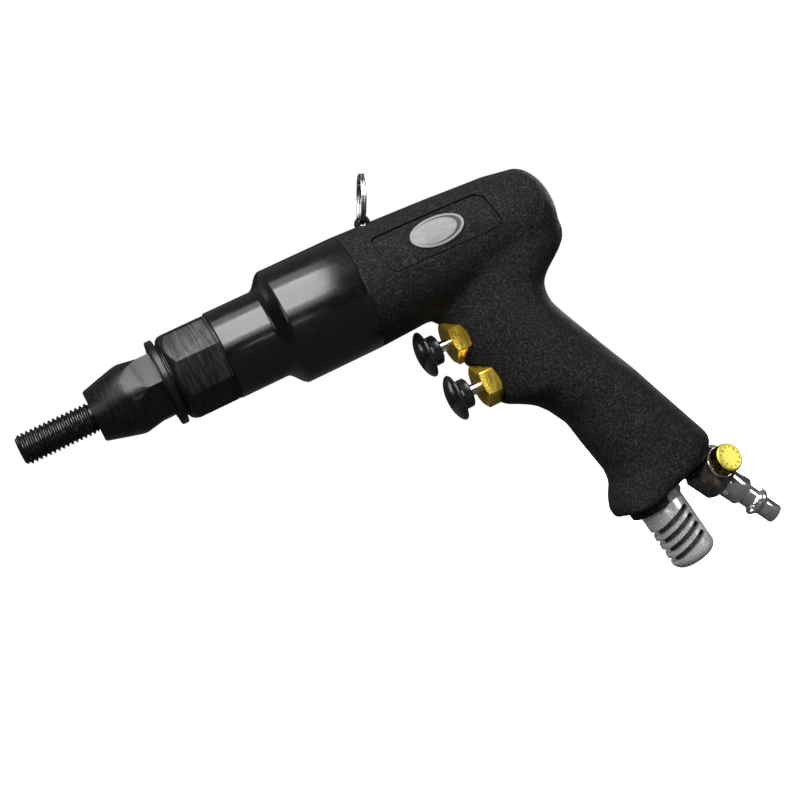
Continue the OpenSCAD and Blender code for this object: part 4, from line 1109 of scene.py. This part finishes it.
class RIVETGUN_PG_look(bpy.types.PropertyGroup):
    housing_base: colour_setting("Housing", "Base colour of the moulded housing",
                                 SURFACES["textured_housing"]["base"])
    housing_speckle: colour_setting("Housing speckle", "Colour of the raised grain",
                                    SURFACES["textured_housing"]["second"])
    brass: colour_setting("Brass", "Colour of the valve nuts", SURFACES["valve_brass"]["second"])
    key_power: bpy.props.FloatProperty(name="Key light", description="Power of the main soft light",
                                       default=10.5, min=0, unit="POWER")
    room_fill: bpy.props.FloatProperty(name="Room fill",
                                       description="Strength of the even light of the room",
                                       default=0.03, min=0)
    floor_tone: bpy.props.FloatProperty(name="Floor tone", description="Lightness of the floor",
                                        default=0.92, min=0, max=1)


def ended(*pieces):
    """Plain end of an operator; an error if one of its pieces has no faces."""
    for piece in pieces:
        if piece is None or not piece.data.polygons:
            raise RuntimeError("a piece could not be made")
    put_down()
    return {"FINISHED"}


class RIVETGUN_OT_studio(bpy.types.Operator):
    """Sets up the camera, the pale floor and the soft lights"""
    bl_idname = "rivetgun.studio"
    bl_label = "Studio"

    def execute(self, context):
        studio(context.scene.rivet_gun_look)
        if context.scene.camera is None:
            raise RuntimeError("the camera could not be made")
        return ended()


class RIVETGUN_OT_inner_parts(bpy.types.Operator):
    """Gives the motor, gears and bearings their finishes"""
    bl_idname = "rivetgun.inner_parts"
    bl_label = "Inner parts"

    def execute(self, context):
        look = context.scene.rivet_gun_look
        SURFACES["textured_housing"].update(base=tuple(look.housing_base),
                                            second=tuple(look.housing_speckle))
        SURFACES["valve_brass"].update(second=tuple(look.brass))
        if not coat_inner_parts():
            raise RuntimeError("no inner part took a finish")
        return ended()


class RIVETGUN_OT_housing(bpy.types.Operator):
    """Models the motor housing with its grip"""
    bl_idname = "rivetgun.housing"
    bl_label = "Motor housing"

    def execute(self, context):
        return ended(motor_housing(context.scene.rivet_gun_sizes))


class RIVETGUN_OT_gear_case(bpy.types.Operator):
    """Turns the gloss black gear case"""
    bl_idname = "rivetgun.gear_case"
    bl_label = "Gear case"

    def execute(self, context):
        return ended(gear_case())


class RIVETGUN_OT_nose(bpy.types.Operator):
    """Models the adapter, the lock ring and the nosepiece"""
    bl_idname = "rivetgun.nose"
    bl_label = "Nose"

    def execute(self, context):
        return ended(adapter(), lock_ring(), nose())


class RIVETGUN_OT_mandrel(bpy.types.Operator):
    """Cuts the threaded mandrel"""
    bl_idname = "rivetgun.mandrel"
    bl_label = "Mandrel"

    def execute(self, context):
        return ended(mandrel(context.scene.rivet_gun_sizes))


class RIVETGUN_OT_valves(bpy.types.Operator):
    """Models the two push valves: nuts, caps and stems"""
    bl_idname = "rivetgun.valves"
    bl_label = "Push valves"

    def execute(self, context):
        pieces = []
        for name, (x, z) in VALVES.items():
            pieces += [valve_nut(name, x, z), push_cap(name, x, z, context.scene.rivet_gun_sizes),
                       valve_stem(name, x, z)]
        return ended(*pieces)


class RIVETGUN_OT_inlet(bpy.types.Operator):
    """Models the air inlet, its bushing and its plug"""
    bl_idname = "rivetgun.inlet"
    bl_label = "Air inlet"

    def execute(self, context):
        return ended(inlet_block(), bushing(), plug())


class RIVETGUN_OT_regulator(bpy.types.Operator):
    """Models the regulator's washer and knurled knob"""
    bl_idname = "rivetgun.regulator"
    bl_label = "Regulator"

    def execute(self, context):
        return ended(collar(), knob(context.scene.rivet_gun_sizes))


class RIVETGUN_OT_muffler(bpy.types.Operator):
    """Models the slotted muffler with its hex and its core"""
    bl_idname = "rivetgun.muffler"
    bl_label = "Muffler"

    def execute(self, context):
        return ended(muffler(context.scene.rivet_gun_sizes))


class RIVETGUN_OT_hanging_ring(bpy.types.Operator):
    """Winds the split hanging ring"""
    bl_idname = "rivetgun.hanging_ring"
    bl_label = "Hanging ring"

    def execute(self, context):
        return ended(hanging_ring(context.scene.rivet_gun_sizes))


class RIVETGUN_OT_badge(bpy.types.Operator):
    """Models the plain oval badge"""
    bl_idname = "rivetgun.badge"
    bl_label = "Badge"

    def execute(self, context):
        return ended(badge(context.scene.rivet_gun_sizes))


STEPS = (RIVETGUN_OT_studio, RIVETGUN_OT_inner_parts, RIVETGUN_OT_housing, RIVETGUN_OT_gear_case,
         RIVETGUN_OT_nose,
         RIVETGUN_OT_mandrel, RIVETGUN_OT_valves, RIVETGUN_OT_inlet, RIVETGUN_OT_regulator,
         RIVETGUN_OT_muffler,
         RIVETGUN_OT_hanging_ring, RIVETGUN_OT_badge)


class RIVETGUN_PT_panel(bpy.types.Panel):
    """Lists the settings and the steps of the rivet gun"""
    bl_idname = "RIVETGUN_PT_panel"
    bl_label = "Rivet Gun"
    bl_space_type = "VIEW_3D"
    bl_region_type = "UI"
    bl_category = "Rivet Gun"

    def draw(self, context):
        for group in (context.scene.rivet_gun_sizes, context.scene.rivet_gun_look):
            column = self.layout.column(align=True)
            for name in group.__annotations__:
                column.prop(group, name)
        column = self.layout.column(align=True)
        for step in STEPS:
            column.operator(step.bl_idname)


CLASSES = (RIVETGUN_PG_sizes, RIVETGUN_PG_look, *STEPS, RIVETGUN_PT_panel)


def register():
    for item in CLASSES:
        bpy.utils.register_class(item)
    bpy.types.Scene.rivet_gun_sizes = bpy.props.PointerProperty(type=RIVETGUN_PG_sizes)
    bpy.types.Scene.rivet_gun_look = bpy.props.PointerProperty(type=RIVETGUN_PG_look)


def unregister():
    del bpy.types.Scene.rivet_gun_look
    del bpy.types.Scene.rivet_gun_sizes
    for item in reversed(CLASSES):
        bpy.utils.unregister_class(item)


def main():
    """Registers the add-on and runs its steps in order."""
    register()
    for step in STEPS:
        group, name = step.bl_idname.split(".")
        getattr(getattr(bpy.ops, group), name)()


if __name__ == "__main__":
    main()
